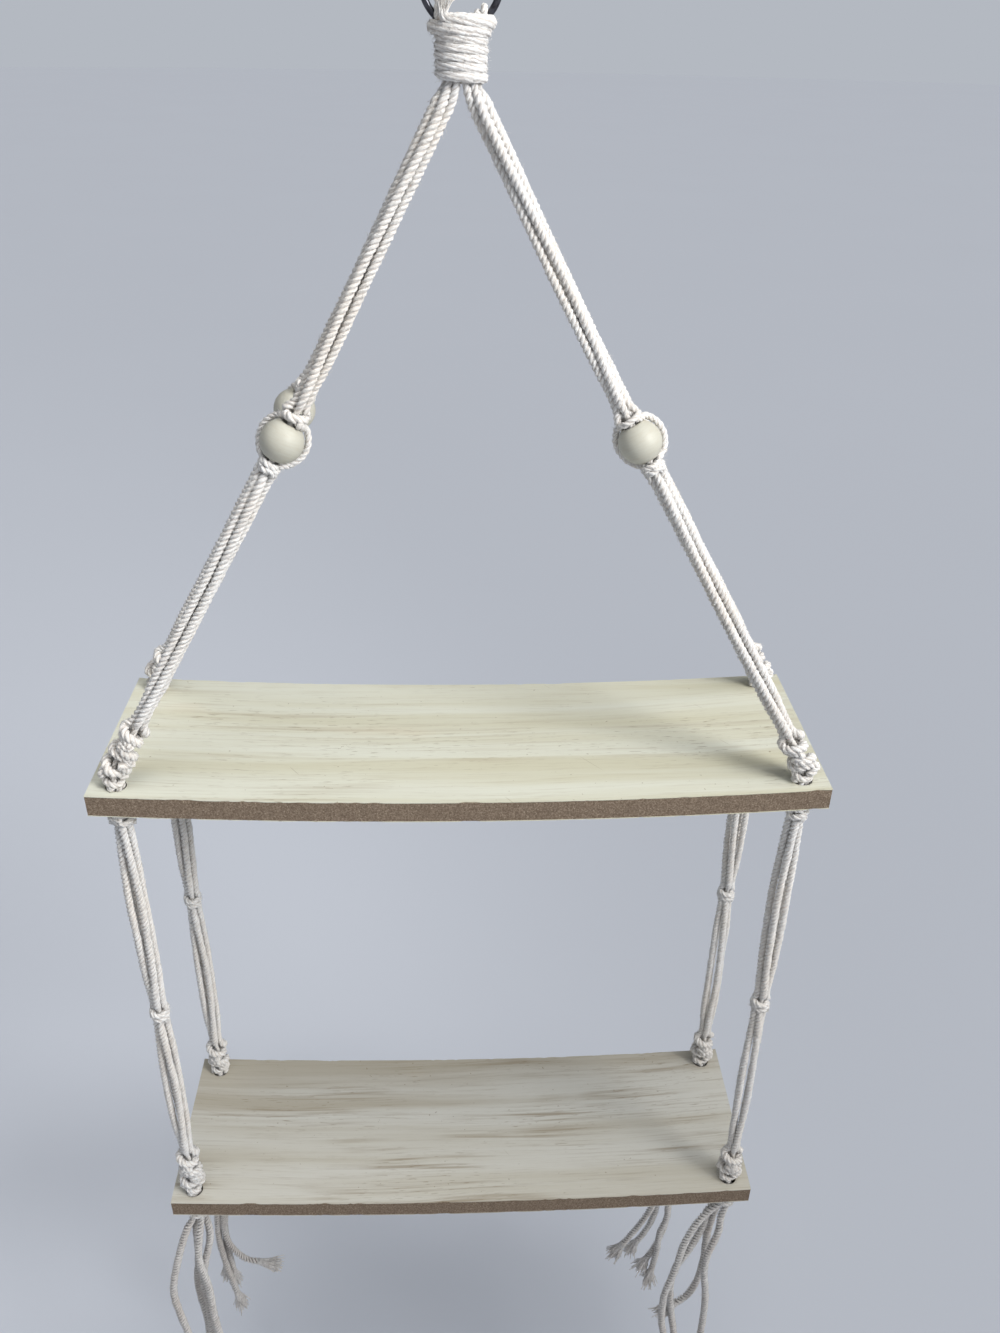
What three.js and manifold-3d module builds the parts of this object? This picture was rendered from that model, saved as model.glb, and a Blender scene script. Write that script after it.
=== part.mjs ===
// Two-tier hanging rope shelf: a metal ring, eight cotton cords folded over it and gathered by a
// wrapping cord, four beaded upper legs, two sagging shelves on four lower legs, and the loose ends.
// Millimetres, +Z up, front towards -Y. The origin is where a hook bears on the ring's inside.

import * as THREE from 'three';
import { mergeVertices } from 'three/addons/utils/BufferGeometryUtils.js';
import Module from 'manifold-3d';

const wasm = await Module();
wasm.setup();

// Shelves
const shelfLength = 400;
const shelfDepth = 122;
const shelfThickness = 13;
const shelfSag = 6.5;
const shelfFacets = 11;
const holeClearance = 0.56;
const holeEndInset = 14;
const holeSideInset = 10.5;
const upperShelfDrop = 386;
const shelfSpacing = 345;

// Ring
const ringBore = 30;
const ringWire = 3;

// Cord, and the gaps kept between touching pieces
const cordDiameter = 4;
const fitGap = 0.3;
const pivotGap = 0.5;

// Gathering wrap: the strands inside it are squeezed, the turns flare out over the loops
const squeezeShare = 0.7;
const strandGap = 0.4;
const outerSeats = 12;
const innerSeats = 4;
const wrapCord = 3.2;
const wrapTurnGap = 0.5;
const wrapTurns = 6.56;
const wrapFlareTurns = 2.5;
const wrapTailBend = 3;
const wrapTopTail = 6;

// Cord loops over the ring wire, pressed flat side by side
const loopThicknessShare = 0.8;
const loopSlackShares = [0, 0.42, 0.75, 0];

// Legs
const openLength = 30;
const openingShares = [0, 0.15, 0.5, 1];
const legTopBend = 4;
const holeBend = 9;
const bendCut = 3.5;
const knotEntry = 3;
const beadPlaceShare = 0.458;
const backRightBeadDrop = 20;
const lowerKnotPlaceShare = 0.46;

// Beads and knots: a knot swells past its necks at the sides and more in front and behind. The stop
// knot under a shelf is widest near its top, and its rounded end lets the rope under it sway.
const beadDiameter = 22;
const boreClearance = 0.35;
const knotSideSwell = 1.2;
const knotFrontSwell = 1.6;
const knotHalfHeight = 5;
const halfKnotPitch = 12.5;
const knotLumpShares = [0.25, 0.75];
const stopKnotLip = 1.8;
const stopKnotHalfHeight = 5;
const stopKnotHeightShares = [-1, -0.5, 0.3, 1];
const stopKnotSizeShares = [0.9, 1, 1, 0.3];
const swayClearance = 1.2;

// Facets
const freeCordSides = 8;
const heldCordSides = 6;
const loopArcSteps = 6;
const stepsPerTurn = 24;
const tailBendSteps = 4;
const ringSides = 6;
const ringSegments = 28;
const beadSegments = 16;
const beadArcSteps = 6;
const knotSides = 8;
const holeSegments = 12;
const tasselStepDiameters = 3;

// Loose ends: each strand's route below its stop knot, chosen by hand from the photograph
const frontLeftTassel = [
  [[-2.3, -2.3, 0], [-9, -4, -14], [-19, -6, -46], [-27, -7, -84], [-26, -7, -112], [-22, -7, -152],
    [-25, -6, -205], [-21, -6, -250]],
  [[2.3, -2.3, 0], [-1, -5.5, -20], [-4, -7, -45], [-1, -7, -80], [-1, -7, -119], [1, -7, -153],
    [3, -6, -205], [0, -6, -262]],
  [[2.3, 2.3, 0], [4, 2, -30], [-3, 1, -62], [-7, 1, -86], [-6, 1, -110], [-8, 0, -153],
    [-6, 0, -205], [-9, 1, -255]],
  [[-2.3, 2.3, 0], [-6, 5, -25], [-9, 8, -60], [-14, 8, -100], [-12, 7, -150], [-16, 8, -200],
    [-13, 7, -240]],
];
const frontRightTassel = [
  [[-2.3, -2.3, 0], [-15, -4, -16], [-24, -5, -42], [-29, -6, -77], [-34, -6, -108], [-33, -6, -142],
    [-27, -6, -180], [-29, -6, -215], [-26, -6, -258]],
  [[-2.3, 2.3, 0], [-9, 2, -16], [-11, 1.5, -34], [-18, 1, -60], [-26.5, 1, -85], [-28, 1, -108],
    [-24, 0.5, -145], [-19, 0, -180], [-21, 1, -220], [-18, 1, -268]],
  [[2.3, -2.3, 0], [-1, -4, -16], [-1, -5, -29], [-6, -5, -60], [-6.5, -5, -78], [-2, -5, -112],
    [0, -4, -152], [-1, -4, -190], [-4, -4, -250]],
  [[2.3, 2.3, 0], [-2, 5, -16], [-5, 6, -50], [-4.5, 6, -84], [-7, 6, -112], [-13, 6, -130],
    [-21, 6, -140]],
];
const backLeftTassel = [
  [[-2.3, -2.3, 0], [-5, -4, -30], [-13, -5, -80], [-20, -5, -140], [-23, -5, -178],
    [-21, -5, -218], [-15.5, -5, -262]],
  [[2.3, -2.3, 0], [0, -5, -30], [-8, -6, -80], [-15, -6, -140], [-17, -6, -165],
    [-13, -6, -193], [-2, -6, -210], [9, -6, -214]],
  [[2.3, 2.3, 0], [0.5, 1, -30], [-7.5, 0, -80], [-14.5, -0.5, -140], [-18.5, -0.5, -190],
    [-17, 0, -236]],
  [[-2.3, 2.3, 0], [-5, 2, -30], [-13, 1, -80], [-20, 0.5, -140], [-24.5, 0.5, -185], [-23, 1, -228]],
];
const backRightTassel = [
  [[-2.3, -2.3, 0], [-5, -5, -40], [-12, -6, -90], [-21, -6, -138], [-29, -6, -165],
    [-37, -6, -184], [-46, -6, -203]],
  [[2.3, -2.3, 0], [2, -5, -40], [-4, -6, -90], [-10.5, -6, -140], [-10, -6, -166],
    [-14, -6, -186], [-14.5, -6, -212], [-17, -6, -242]],
  [[2.3, 2.3, 0], [3, 1, -40], [-3, 0, -90], [-9, -0.5, -140], [-8, -0.5, -175],
    [-15, -0.5, -215], [-21, -0.5, -232]],
  [[-2.3, 2.3, 0], [-3.5, 1, -40], [-11, 0, -90], [-17.5, -0.5, -138], [-20.5, -1, -172],
    [-26, -1, -192], [-32, -1, -206]],
];

const corners = [
  { name: 'front_left', side: -1, row: -1, halfKnots: 3, beadDrop: 0, tassel: frontLeftTassel },
  { name: 'front_right', side: 1, row: -1, halfKnots: 2, beadDrop: 0, tassel: frontRightTassel },
  { name: 'back_left', side: -1, row: 1, halfKnots: 2, beadDrop: 0, tassel: backLeftTassel },
  { name: 'back_right', side: 1, row: 1, halfKnots: 2, beadDrop: backRightBeadDrop, tassel: backRightTassel },
];

// Places that follow from the sizes
const cordRadius = cordDiameter / 2;
const squeezedStrand = squeezeShare * cordDiameter;
const squeezedRadius = squeezedStrand / 2;
const strandSpread = (cordDiameter + fitGap) / Math.SQRT2;
const slotHalfWidth = cordRadius + fitGap;
const slotHalfDepth = strandSpread + slotHalfWidth;
const neckHalfSize = slotHalfDepth + fitGap;
const knotHalfWidth = neckHalfSize + knotSideSwell;
const knotHalfDepth = neckHalfSize + knotFrontSwell;
const knottedSpread = slotHalfWidth + fitGap + squeezedRadius;
const ringRadius = (ringBore + ringWire) / 2;
const ringCentre = -ringBore / 2;
const holeX = shelfLength / 2 - holeEndInset;
const holeY = shelfDepth / 2 - holeSideInset;
const holeRadius = strandSpread + cordRadius + holeClearance;
const stopKnotRadius = holeRadius + stopKnotLip;
const lowerShelfDrop = upperShelfDrop + shelfSpacing;
const strandPitch = squeezedStrand + strandGap;
const loopPitch = squeezedStrand;
const loopWidth = loopPitch - fitGap;
const loopThickness = loopThicknessShare * cordDiameter;
const wrapPitch = wrapCord + wrapTurnGap;
const wrapTop = -ringBore;
const wrapBottom = wrapTop - wrapTurns * wrapPitch;
const gatherBottom = wrapBottom - wrapCord / 2 - fitGap;
const gatherTop = wrapTop - (wrapFlareTurns - 1 / 2) * wrapPitch;
const legTop = gatherBottom - fitGap;
const beadRadius = beadDiameter / 2;
const fillerInBore = cordRadius + fitGap / 2;
const boreRadius = fillerInBore + cordRadius + boreClearance;
const beadHalfLength = Math.sqrt(beadRadius ** 2 - boreRadius ** 2);
const knotSeat = beadHalfLength + fitGap + knotHalfHeight;

// Materials
const cotton = new THREE.MeshStandardMaterial({ color: 0xe3ded3, roughness: 0.95, metalness: 0 });
const veneer = new THREE.MeshStandardMaterial({ color: 0xcdc8b4, roughness: 0.6, metalness: 0 });
const beadWood = new THREE.MeshStandardMaterial({ color: 0xd9d2bf, roughness: 0.5, metalness: 0 });
const darkSteel = new THREE.MeshStandardMaterial({ color: 0x4a4a4d, roughness: 0.4, metalness: 0.9 });

// Geometry helpers

function toSolid(geometry) {
  const bare = geometry.clone();
  bare.deleteAttribute('normal');
  bare.deleteAttribute('uv');
  const merged = mergeVertices(bare);
  return new wasm.Manifold(new wasm.Mesh({
    numProp: 3,
    vertProperties: new Float32Array(merged.attributes.position.array),
    triVerts: new Uint32Array(merged.index.array),
  }));
}

function toGeometry(solid) {
  const mesh = solid.getMesh();
  const geometry = new THREE.BufferGeometry();
  geometry.setAttribute('position', new THREE.BufferAttribute(new Float32Array(mesh.vertProperties), 3));
  geometry.setIndex(new THREE.BufferAttribute(new Uint32Array(mesh.triVerts), 1));
  geometry.computeVertexNormals();
  return geometry;
}

// A round section with the given number of corners, one across.
function roundSection(sides) {
  const section = [];
  for (let k = 0; k < sides; k += 1) {
    const angle = (2 * Math.PI * k) / sides;
    section.push(new THREE.Vector2(Math.cos(angle), Math.sin(angle)));
  }
  return section;
}

// A section with flats one away from its middle.
function flatSection(sides) {
  const turn = Math.PI / sides;
  return roundSection(sides).map((point) => point.rotateAround(new THREE.Vector2(), turn)
    .divideScalar(Math.cos(turn)));
}

// A closed tube through stations { at, wide, deep }: the centre, and the two scales of the section,
// wide measured along an axis that starts as given and turns with the route.
function sweep(stations, section, firstAxis = new THREE.Vector3(1, 0, 0)) {
  const places = [];
  const faces = [];
  const sides = section.length;
  const last = stations.length - 1;
  let wideAxis = firstAxis;
  stations.forEach((station, i) => {
    const tangent = new THREE.Vector3()
      .subVectors(stations[Math.min(i + 1, last)].at, stations[Math.max(i - 1, 0)].at)
      .normalize();
    wideAxis = wideAxis.clone().addScaledVector(tangent, -wideAxis.dot(tangent)).normalize();
    const deepAxis = new THREE.Vector3().crossVectors(tangent, wideAxis);
    section.forEach((point) => {
      const place = station.at.clone()
        .addScaledVector(wideAxis, station.wide * point.x)
        .addScaledVector(deepAxis, station.deep * point.y);
      places.push(place.x, place.y, place.z);
    });
  });
  for (let i = 0; i < last; i += 1) {
    for (let k = 0; k < sides; k += 1) {
      const a = i * sides + k;
      const b = i * sides + ((k + 1) % sides);
      faces.push(a, b, b + sides, a, b + sides, a + sides);
    }
  }
  for (let k = 1; k < sides - 1; k += 1) {
    faces.push(0, k + 1, k);
    faces.push(last * sides, last * sides + k, last * sides + k + 1);
  }
  const geometry = new THREE.BufferGeometry();
  geometry.setAttribute('position', new THREE.Float32BufferAttribute(places, 3));
  geometry.setIndex(faces);
  geometry.computeVertexNormals();
  return geometry;
}

// A route of straight runs whose corners are rounded off over a length cut on each side.
function roundedRoute(points, cut) {
  const route = new THREE.CurvePath();
  let from = points[0];
  for (let i = 1; i < points.length - 1; i += 1) {
    const corner = points[i];
    const before = corner.clone().addScaledVector(corner.clone().sub(points[i - 1]).normalize(), -cut);
    const after = corner.clone().addScaledVector(points[i + 1].clone().sub(corner).normalize(), cut);
    route.add(new THREE.LineCurve3(from, before));
    route.add(new THREE.QuadraticBezierCurve3(before, corner, after));
    from = after;
  }
  route.add(new THREE.LineCurve3(from, points[points.length - 1]));
  return route;
}

// Shelves

// How far the top of a shelf dips below its ends at a place along its length.
function shelfDip(x) {
  const facetLength = shelfLength / shelfFacets;
  const facet = Math.min(Math.floor((x + shelfLength / 2) / facetLength), shelfFacets - 1);
  const dipAt = (edge) => shelfSag * (1 - (2 * edge / shelfFacets - 1) ** 2);
  const share = (x + shelfLength / 2) / facetLength - facet;
  return dipAt(facet) + (dipAt(facet + 1) - dipAt(facet)) * share;
}

function shelfGeometry(drop) {
  const outline = new THREE.Shape();
  const stations = [];
  for (let i = 0; i <= shelfFacets; i += 1) {
    stations.push(shelfLength * (i / shelfFacets - 1 / 2));
  }
  outline.moveTo(stations[0], -drop - shelfDip(stations[0]) - shelfThickness);
  stations.slice(1).forEach((x) => outline.lineTo(x, -drop - shelfDip(x) - shelfThickness));
  stations.slice().reverse().forEach((x) => outline.lineTo(x, -drop - shelfDip(x)));
  const slab = new THREE.ExtrudeGeometry(outline, { depth: shelfDepth, bevelEnabled: false, steps: 1 });
  slab.rotateX(Math.PI / 2);
  slab.translate(0, shelfDepth / 2, 0);
  let solid = toSolid(slab);
  corners.forEach((corner) => {
    const hole = new THREE.CylinderGeometry(holeRadius, holeRadius, 4 * shelfThickness, holeSegments);
    hole.rotateX(Math.PI / 2);
    hole.translate(corner.side * holeX, corner.row * holeY, -drop);
    solid = solid.subtract(toSolid(hole));
  });
  return toGeometry(solid);
}

// Ring

function ringGeometry() {
  const ring = new THREE.TorusGeometry(ringRadius, ringWire / 2, ringSides, ringSegments);
  ring.rotateX(Math.PI / 2);
  ring.translate(0, 0, ringCentre);
  return ring;
}

// Seats of one quadrant's four strands in the gather, from the side of the shelf to its middle: three
// in the outer circle of seats and one in the inner circle

function seatRadius(seatCount) {
  return strandPitch / 2 / Math.sin(Math.PI / seatCount);
}

function seatAt(seatCount, index) {
  const angle = (2 * Math.PI * (index + 1 / 2)) / seatCount;
  return new THREE.Vector2(Math.cos(angle), Math.sin(angle)).multiplyScalar(seatRadius(seatCount));
}

const seats = [seatAt(outerSeats, 0), seatAt(outerSeats, 1), seatAt(outerSeats, 2), seatAt(innerSeats, 0)];
const seatSum = seats.reduce((sum, seat) => sum.add(seat), new THREE.Vector2());
const seatCentre = seatSum.divideScalar(seats.length);
const wrapRadius = seatRadius(outerSeats) + squeezedRadius + fitGap + wrapCord / 2;

// Cord loops over the ring: one cord per seat and side, from the gather up, over the wire and back

function loopStations(side, seatIndex) {
  const seat = seats[seatIndex];
  const places = seats.length - seatIndex - 1 / 2;
  const x = side * places * loopPitch;
  const wireCentre = ringCentre - Math.sqrt(ringRadius ** 2 - x ** 2);
  const overWire = ringWire / 2 + fitGap + loopThickness / 2;
  const apex = ringCentre - Math.sqrt((ringRadius - overWire) ** 2 - x ** 2);
  const halfSpan = overWire + loopSlackShares[seatIndex] * loopThickness;
  const rise = apex - wireCentre;
  const up = [gatherBottom, gatherTop].map((z) => ({
    at: new THREE.Vector3(side * seat.x, -seat.y, z),
    wide: squeezedRadius,
    deep: squeezedRadius,
  }));
  const over = [];
  for (let i = 0; i <= loopArcSteps; i += 1) {
    const angle = (Math.PI * i) / loopArcSteps;
    over.push({
      at: new THREE.Vector3(x, -halfSpan * Math.cos(angle), wireCentre + rise * Math.sin(angle)),
      wide: loopWidth / 2,
      deep: loopThickness / 2,
    });
  }
  const down = up.map((station) => ({
    ...station,
    at: station.at.clone().multiply(new THREE.Vector3(1, -1, 1)),
  })).reverse();
  return [...up, ...over, ...down];
}

function loopGeometry(side, seatIndex) {
  return sweep(loopStations(side, seatIndex), roundSection(heldCordSides));
}

// Gathering wrap: one unbroken tube, its first turns flared round the loops, its two cut ends
// straight, the upper one standing up in front and the lower one hanging down behind

function wrapHalfWidth(turn) {
  const loopsHalfWidth = (seats.length - 1 / 2) * loopPitch + loopWidth / 2;
  const flared = loopsHalfWidth + 2 * fitGap + wrapCord / 2;
  const share = Math.max(turn - 1 / 2, 0) / (wrapFlareTurns - 1 / 2);
  return flared + (wrapRadius - flared) * Math.min(share, 1);
}

function wrapPoints() {
  const endAngle = Math.PI / 2;
  const startAngle = endAngle - 2 * Math.PI * wrapTurns;
  const steps = Math.round(wrapTurns * stepsPerTurn);
  const turns = [];
  for (let i = 0; i <= steps; i += 1) {
    const turn = (wrapTurns * i) / steps;
    const angle = startAngle + 2 * Math.PI * turn;
    turns.push(new THREE.Vector3(
      wrapHalfWidth(turn) * Math.cos(angle),
      wrapRadius * Math.sin(angle),
      wrapTop - turn * wrapPitch,
    ));
  }
  const tail = (end, before, up, straight) => {
    const along = end.clone().sub(before).setZ(0).normalize();
    const vertical = new THREE.Vector3(0, 0, up);
    const points = [];
    for (let i = 1; i <= tailBendSteps; i += 1) {
      const angle = (Math.PI / 2) * (i / tailBendSteps);
      points.push(end.clone()
        .addScaledVector(along, wrapTailBend * Math.sin(angle))
        .addScaledVector(vertical, wrapTailBend * (1 - Math.cos(angle))));
    }
    points.push(points[tailBendSteps - 1].clone().addScaledVector(vertical, straight));
    return points;
  };
  const last = turns.length - 1;
  const topTail = tail(turns[0], turns[1], 1, wrapTopTail).reverse();
  const bottomTail = tail(turns[last], turns[last - 1], -1, wrapCord);
  return [...topTail, ...turns, ...bottomTail];
}

function leastGapToItself(points, diameter, apart) {
  let least = Infinity;
  for (let i = 0; i < points.length; i += 1) {
    for (let j = i + apart; j < points.length; j += 1) {
      least = Math.min(least, points[i].distanceTo(points[j]) - diameter);
    }
  }
  return least;
}

function wrapGeometry() {
  const points = wrapPoints();
  const gap = leastGapToItself(points, wrapCord, stepsPerTurn / 2);
  console.log(`gathering wrap, least gap to itself: ${gap.toFixed(2)} mm`);
  const stations = points.map((at) => ({ at, wide: wrapCord / 2, deep: wrapCord / 2 }));
  return sweep(stations, roundSection(heldCordSides));
}

// Stop knots: the middle of the one that carries a shelf, its flat top under the hole

function stopKnotCentre(drop) {
  const facetLength = shelfLength / shelfFacets;
  const endSlope = (shelfDip(shelfLength / 2 - facetLength) - shelfDip(shelfLength / 2)) / facetLength;
  const underside = -drop - shelfDip(holeX) - shelfThickness - endSlope * stopKnotRadius;
  return underside - fitGap - stopKnotHalfHeight;
}

function stopKnotSolid(centre) {
  const stations = stopKnotHeightShares.map((share, i) => ({
    at: centre.clone().setZ(centre.z - share * stopKnotHalfHeight),
    wide: stopKnotSizeShares[i] * stopKnotRadius,
    deep: stopKnotSizeShares[i] * stopKnotRadius,
  }));
  return toSolid(sweep(stations, flatSection(knotSides)));
}

// Legs: four strands about a centre line. In the first quadrant's terms the outer and inner
// knotting cords lie along X and the outer and inner fillers along Y.

const strandAngles = [0, Math.PI / 2, Math.PI, -Math.PI / 2];
const fillerSeats = [1, 3];
const knottingSeats = [0, 2];

function strandOffset(seatIndex, opening, spread) {
  const seat = seats[seatIndex].clone().sub(seatCentre);
  const seatAngle = Math.atan2(seat.y, seat.x);
  const angle = seatAngle + (strandAngles[seatIndex] - seatAngle) * opening;
  const radius = seat.length() + (spread - seat.length()) * opening;
  return new THREE.Vector2(radius * Math.cos(angle), radius * Math.sin(angle));
}

// The leg's centre line at a length along it, with the axes that its strands are set out on.
function legFrame(leg, length) {
  const share = Math.min(length / leg.length, 1);
  const centre = leg.route.getPointAt(share);
  const tangent = leg.route.getTangentAt(share);
  const deepAxis = new THREE.Vector3(0, 1, 0).addScaledVector(tangent, -tangent.y).normalize();
  const wideAxis = new THREE.Vector3().crossVectors(deepAxis, tangent);
  wideAxis.multiplyScalar(Math.sign(wideAxis.x));
  return { centre, wideAxis, deepAxis };
}

// One strand's station at a length along a leg, at a distance from its centre line.
function strandStation(leg, seatIndex, { length, spread, radius }) {
  const { centre, wideAxis, deepAxis } = legFrame(leg, length);
  const opening = leg.opensFromGather ? Math.min(length / openLength, 1) : 1;
  const offset = strandOffset(seatIndex, opening, spread);
  const size = squeezedRadius + (radius - squeezedRadius) * opening;
  const at = centre
    .addScaledVector(wideAxis, leg.side * offset.x)
    .addScaledVector(deepAxis, leg.row * offset.y);
  return { at, wide: size, deep: size };
}

function strandGeometry(leg, seatIndex, marks) {
  const stations = marks.map((mark) => strandStation(leg, seatIndex, mark));
  return sweep(stations, roundSection(heldCordSides), legFrame(leg, 0).wideAxis);
}

const openAt = (length) => ({ length, spread: strandSpread, radius: cordRadius });
const tiedAt = (length) => ({ length, spread: knottedSpread, radius: squeezedRadius });

function upperLeg(corner) {
  const shelfTop = -upperShelfDrop - shelfDip(holeX);
  const top = new THREE.Vector3(corner.side * seatCentre.x, corner.row * seatCentre.y, legTop);
  const hole = new THREE.Vector3(corner.side * holeX, corner.row * holeY, shelfTop);
  const bendTop = top.clone().setZ(legTop - legTopBend);
  const bendBottom = hole.clone().setZ(hole.z + holeBend);
  const foot = hole.clone().setZ(stopKnotCentre(upperShelfDrop));
  const route = roundedRoute([top, bendTop, bendBottom, foot], bendCut);
  const length = route.getLength();
  const bendLength = length - (bendBottom.z - foot.z);
  const bends = [bendLength - bendCut, bendLength + bendCut];
  const bead = beadPlaceShare * bendLength + corner.beadDrop;
  const sennitTop = bendLength - (corner.halfKnots - 1 / 2) * halfKnotPitch;
  return { ...corner, route, length, bendLength, bends, bead, sennitTop, foot, opensFromGather: true };
}

// The slot that both fillers pass through in a run of knots.
function fillerSlot(leg, from, to) {
  const section = [[1, 1], [-1, 1], [-1, -1], [1, -1]].map(([x, y]) => new THREE.Vector2(x, y));
  const bends = leg.bends.filter((length) => length > from && length < to);
  const stations = [from, ...bends, to].map((length) => ({
    at: legFrame(leg, length).centre,
    wide: slotHalfWidth,
    deep: slotHalfDepth,
  }));
  return toSolid(sweep(stations, section, legFrame(leg, from).wideAxis));
}

// A run of knots along the leg: each swells out between narrow necks, round the fillers' slot.
function knotRun(leg, from, pitch, count) {
  const neckAt = (length) => (
    { at: legFrame(leg, length).centre, wide: neckHalfSize, deep: neckHalfSize });
  const stations = [neckAt(from)];
  for (let i = 0; i < count; i += 1) {
    knotLumpShares.forEach((share) => stations.push({
      at: legFrame(leg, from + (i + share) * pitch).centre,
      wide: knotHalfWidth,
      deep: knotHalfDepth,
    }));
    stations.push(neckAt(from + (i + 1) * pitch));
  }
  const run = toSolid(sweep(stations, flatSection(knotSides), legFrame(leg, from).wideAxis));
  return run.subtract(fillerSlot(leg, from - knotEntry, from + count * pitch + knotEntry));
}

function tie(cords, knots) {
  return toGeometry([...knots, ...cords.map(toSolid)].reduce((all, piece) => all.add(piece)));
}

// Upper knotting cords: down from the gather, round the bead and through the half knots to the
// stop knot, drawn tight in each

function upperKnottingMarks(leg) {
  const step = Math.PI / 6;
  const bypass = (beadRadius + fitGap + cordRadius) / Math.cos(step / 2);
  const roundBead = [-2, -1, 0, 1, 2].map((i) => ({
    length: leg.bead + bypass * Math.sin(i * step),
    spread: bypass * Math.cos(i * step),
    radius: cordRadius,
  }));
  const sennitBottom = leg.bendLength + halfKnotPitch / 2;
  const stopTop = leg.length - stopKnotHalfHeight;
  return [
    ...openingShares.map((share) => openAt(share * openLength)),
    openAt(leg.bead - knotSeat - knotHalfHeight - knotEntry),
    tiedAt(leg.bead - knotSeat - knotHalfHeight - fitGap),
    tiedAt(leg.bead - knotSeat),
    ...roundBead,
    tiedAt(leg.bead + knotSeat),
    tiedAt(leg.bead + knotSeat + knotHalfHeight + fitGap),
    openAt(leg.bead + knotSeat + knotHalfHeight + knotEntry),
    openAt(leg.sennitTop - knotEntry),
    tiedAt(leg.sennitTop - fitGap),
    ...leg.bends.map(tiedAt),
    tiedAt(sennitBottom + fitGap),
    openAt(sennitBottom + knotEntry),
    openAt(stopTop - knotEntry),
    tiedAt(stopTop - fitGap),
    tiedAt(leg.length),
  ];
}

function upperKnottingGeometry(leg) {
  const squareKnot = (middle) => knotRun(leg, middle - knotHalfHeight, 2 * knotHalfHeight, 1);
  const stopSlot = fillerSlot(leg, leg.length - stopKnotHalfHeight - fitGap, leg.length);
  const knots = [
    squareKnot(leg.bead - knotSeat),
    squareKnot(leg.bead + knotSeat),
    knotRun(leg, leg.sennitTop, halfKnotPitch, leg.halfKnots),
    stopKnotSolid(leg.foot).subtract(stopSlot),
  ];
  const marks = upperKnottingMarks(leg);
  return tie(knottingSeats.map((seat) => strandGeometry(leg, seat, marks)), knots);
}

function upperFillerGeometry(leg, seatIndex) {
  return strandGeometry(leg, seatIndex, [
    ...openingShares.map((share) => openAt(share * openLength)),
    openAt(leg.bead - knotSeat),
    { length: leg.bead - beadRadius, spread: fillerInBore, radius: cordRadius },
    { length: leg.bead + beadRadius, spread: fillerInBore, radius: cordRadius },
    openAt(leg.bead + knotSeat),
    ...leg.bends.map(openAt),
    openAt(leg.length - fitGap),
  ]);
}

function beadGeometry() {
  const edgeAngle = Math.asin(beadHalfLength / beadRadius);
  const profile = [];
  for (let i = 0; i <= beadArcSteps; i += 1) {
    const angle = edgeAngle * ((2 * i) / beadArcSteps - 1);
    profile.push(new THREE.Vector2(beadRadius * Math.cos(angle), beadRadius * Math.sin(angle)));
  }
  profile.push(profile[0].clone());
  return new THREE.LatheGeometry(profile, beadSegments);
}

// Lower legs hang straight from just under the upper stop knots to just over the lower shelf

function lowerLeg(corner) {
  const stopKnotBottom = stopKnotCentre(upperShelfDrop) - stopKnotHalfHeight;
  const lowerTop = -lowerShelfDrop - shelfDip(holeX);
  const top = new THREE.Vector3(corner.side * holeX, corner.row * holeY, stopKnotBottom - pivotGap);
  const foot = top.clone().setZ(lowerTop + pivotGap);
  return { ...corner, ...straightLeg(top, foot) };
}

function straightLeg(top, foot) {
  const route = new THREE.LineCurve3(top, foot);
  return { route, length: route.getLength(), bends: [], opensFromGather: false };
}

function lowerKnottingGeometry(leg) {
  const middle = lowerKnotPlaceShare * leg.length;
  const sennitBottom = leg.length - swayClearance;
  const sennitTop = sennitBottom - leg.halfKnots * halfKnotPitch;
  const marks = [
    openAt(0),
    openAt(middle - knotHalfHeight - knotEntry),
    tiedAt(middle - knotHalfHeight - fitGap),
    tiedAt(middle + knotHalfHeight + fitGap),
    openAt(middle + knotHalfHeight + knotEntry),
    openAt(sennitTop - knotEntry),
    tiedAt(sennitTop - fitGap),
    tiedAt(sennitBottom - knotEntry),
  ];
  const knots = [
    knotRun(leg, middle - knotHalfHeight, 2 * knotHalfHeight, 1),
    knotRun(leg, sennitTop, halfKnotPitch, leg.halfKnots),
  ];
  return tie(knottingSeats.map((seat) => strandGeometry(leg, seat, marks)), knots);
}

function lowerFillerGeometry(leg, seatIndex) {
  return strandGeometry(leg, seatIndex, [openAt(0), openAt(leg.length)]);
}

// Stop knot of the lower shelf: the four strands in the hole and the knot that carries the shelf

function lowerStopKnotGeometry(corner) {
  const knotHeight = stopKnotCentre(lowerShelfDrop);
  const centre = new THREE.Vector3(corner.side * holeX, corner.row * holeY, knotHeight);
  const top = centre.clone().setZ(-lowerShelfDrop - shelfDip(holeX) - fitGap);
  const leg = { ...corner, ...straightLeg(top, centre) };
  const marks = [openAt(0), openAt(leg.length)];
  const strands = seats.map((seat, index) => strandGeometry(leg, index, marks));
  return tie(strands, [stopKnotSolid(centre)]);
}

// Loose ends

function tasselStrandGeometry(corner, offsets) {
  const top = stopKnotCentre(lowerShelfDrop) - stopKnotHalfHeight - pivotGap;
  const exit = new THREE.Vector3(corner.side * holeX, corner.row * holeY, top);
  const points = offsets.map(([x, y, z]) => new THREE.Vector3(x, y, z).add(exit));
  const path = new THREE.CatmullRomCurve3(points);
  const steps = Math.round(path.getLength() / (tasselStepDiameters * cordDiameter));
  const outline = roundSection(freeCordSides).map((point) => point.multiplyScalar(cordRadius));
  return new THREE.ExtrudeGeometry(new THREE.Shape(outline), { steps, extrudePath: path });
}

// Assembly

const part = new THREE.Group();

function addPiece(name, geometry, material) {
  const mesh = new THREE.Mesh(geometry, material);
  mesh.name = name;
  part.add(mesh);
  return mesh;
}

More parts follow.
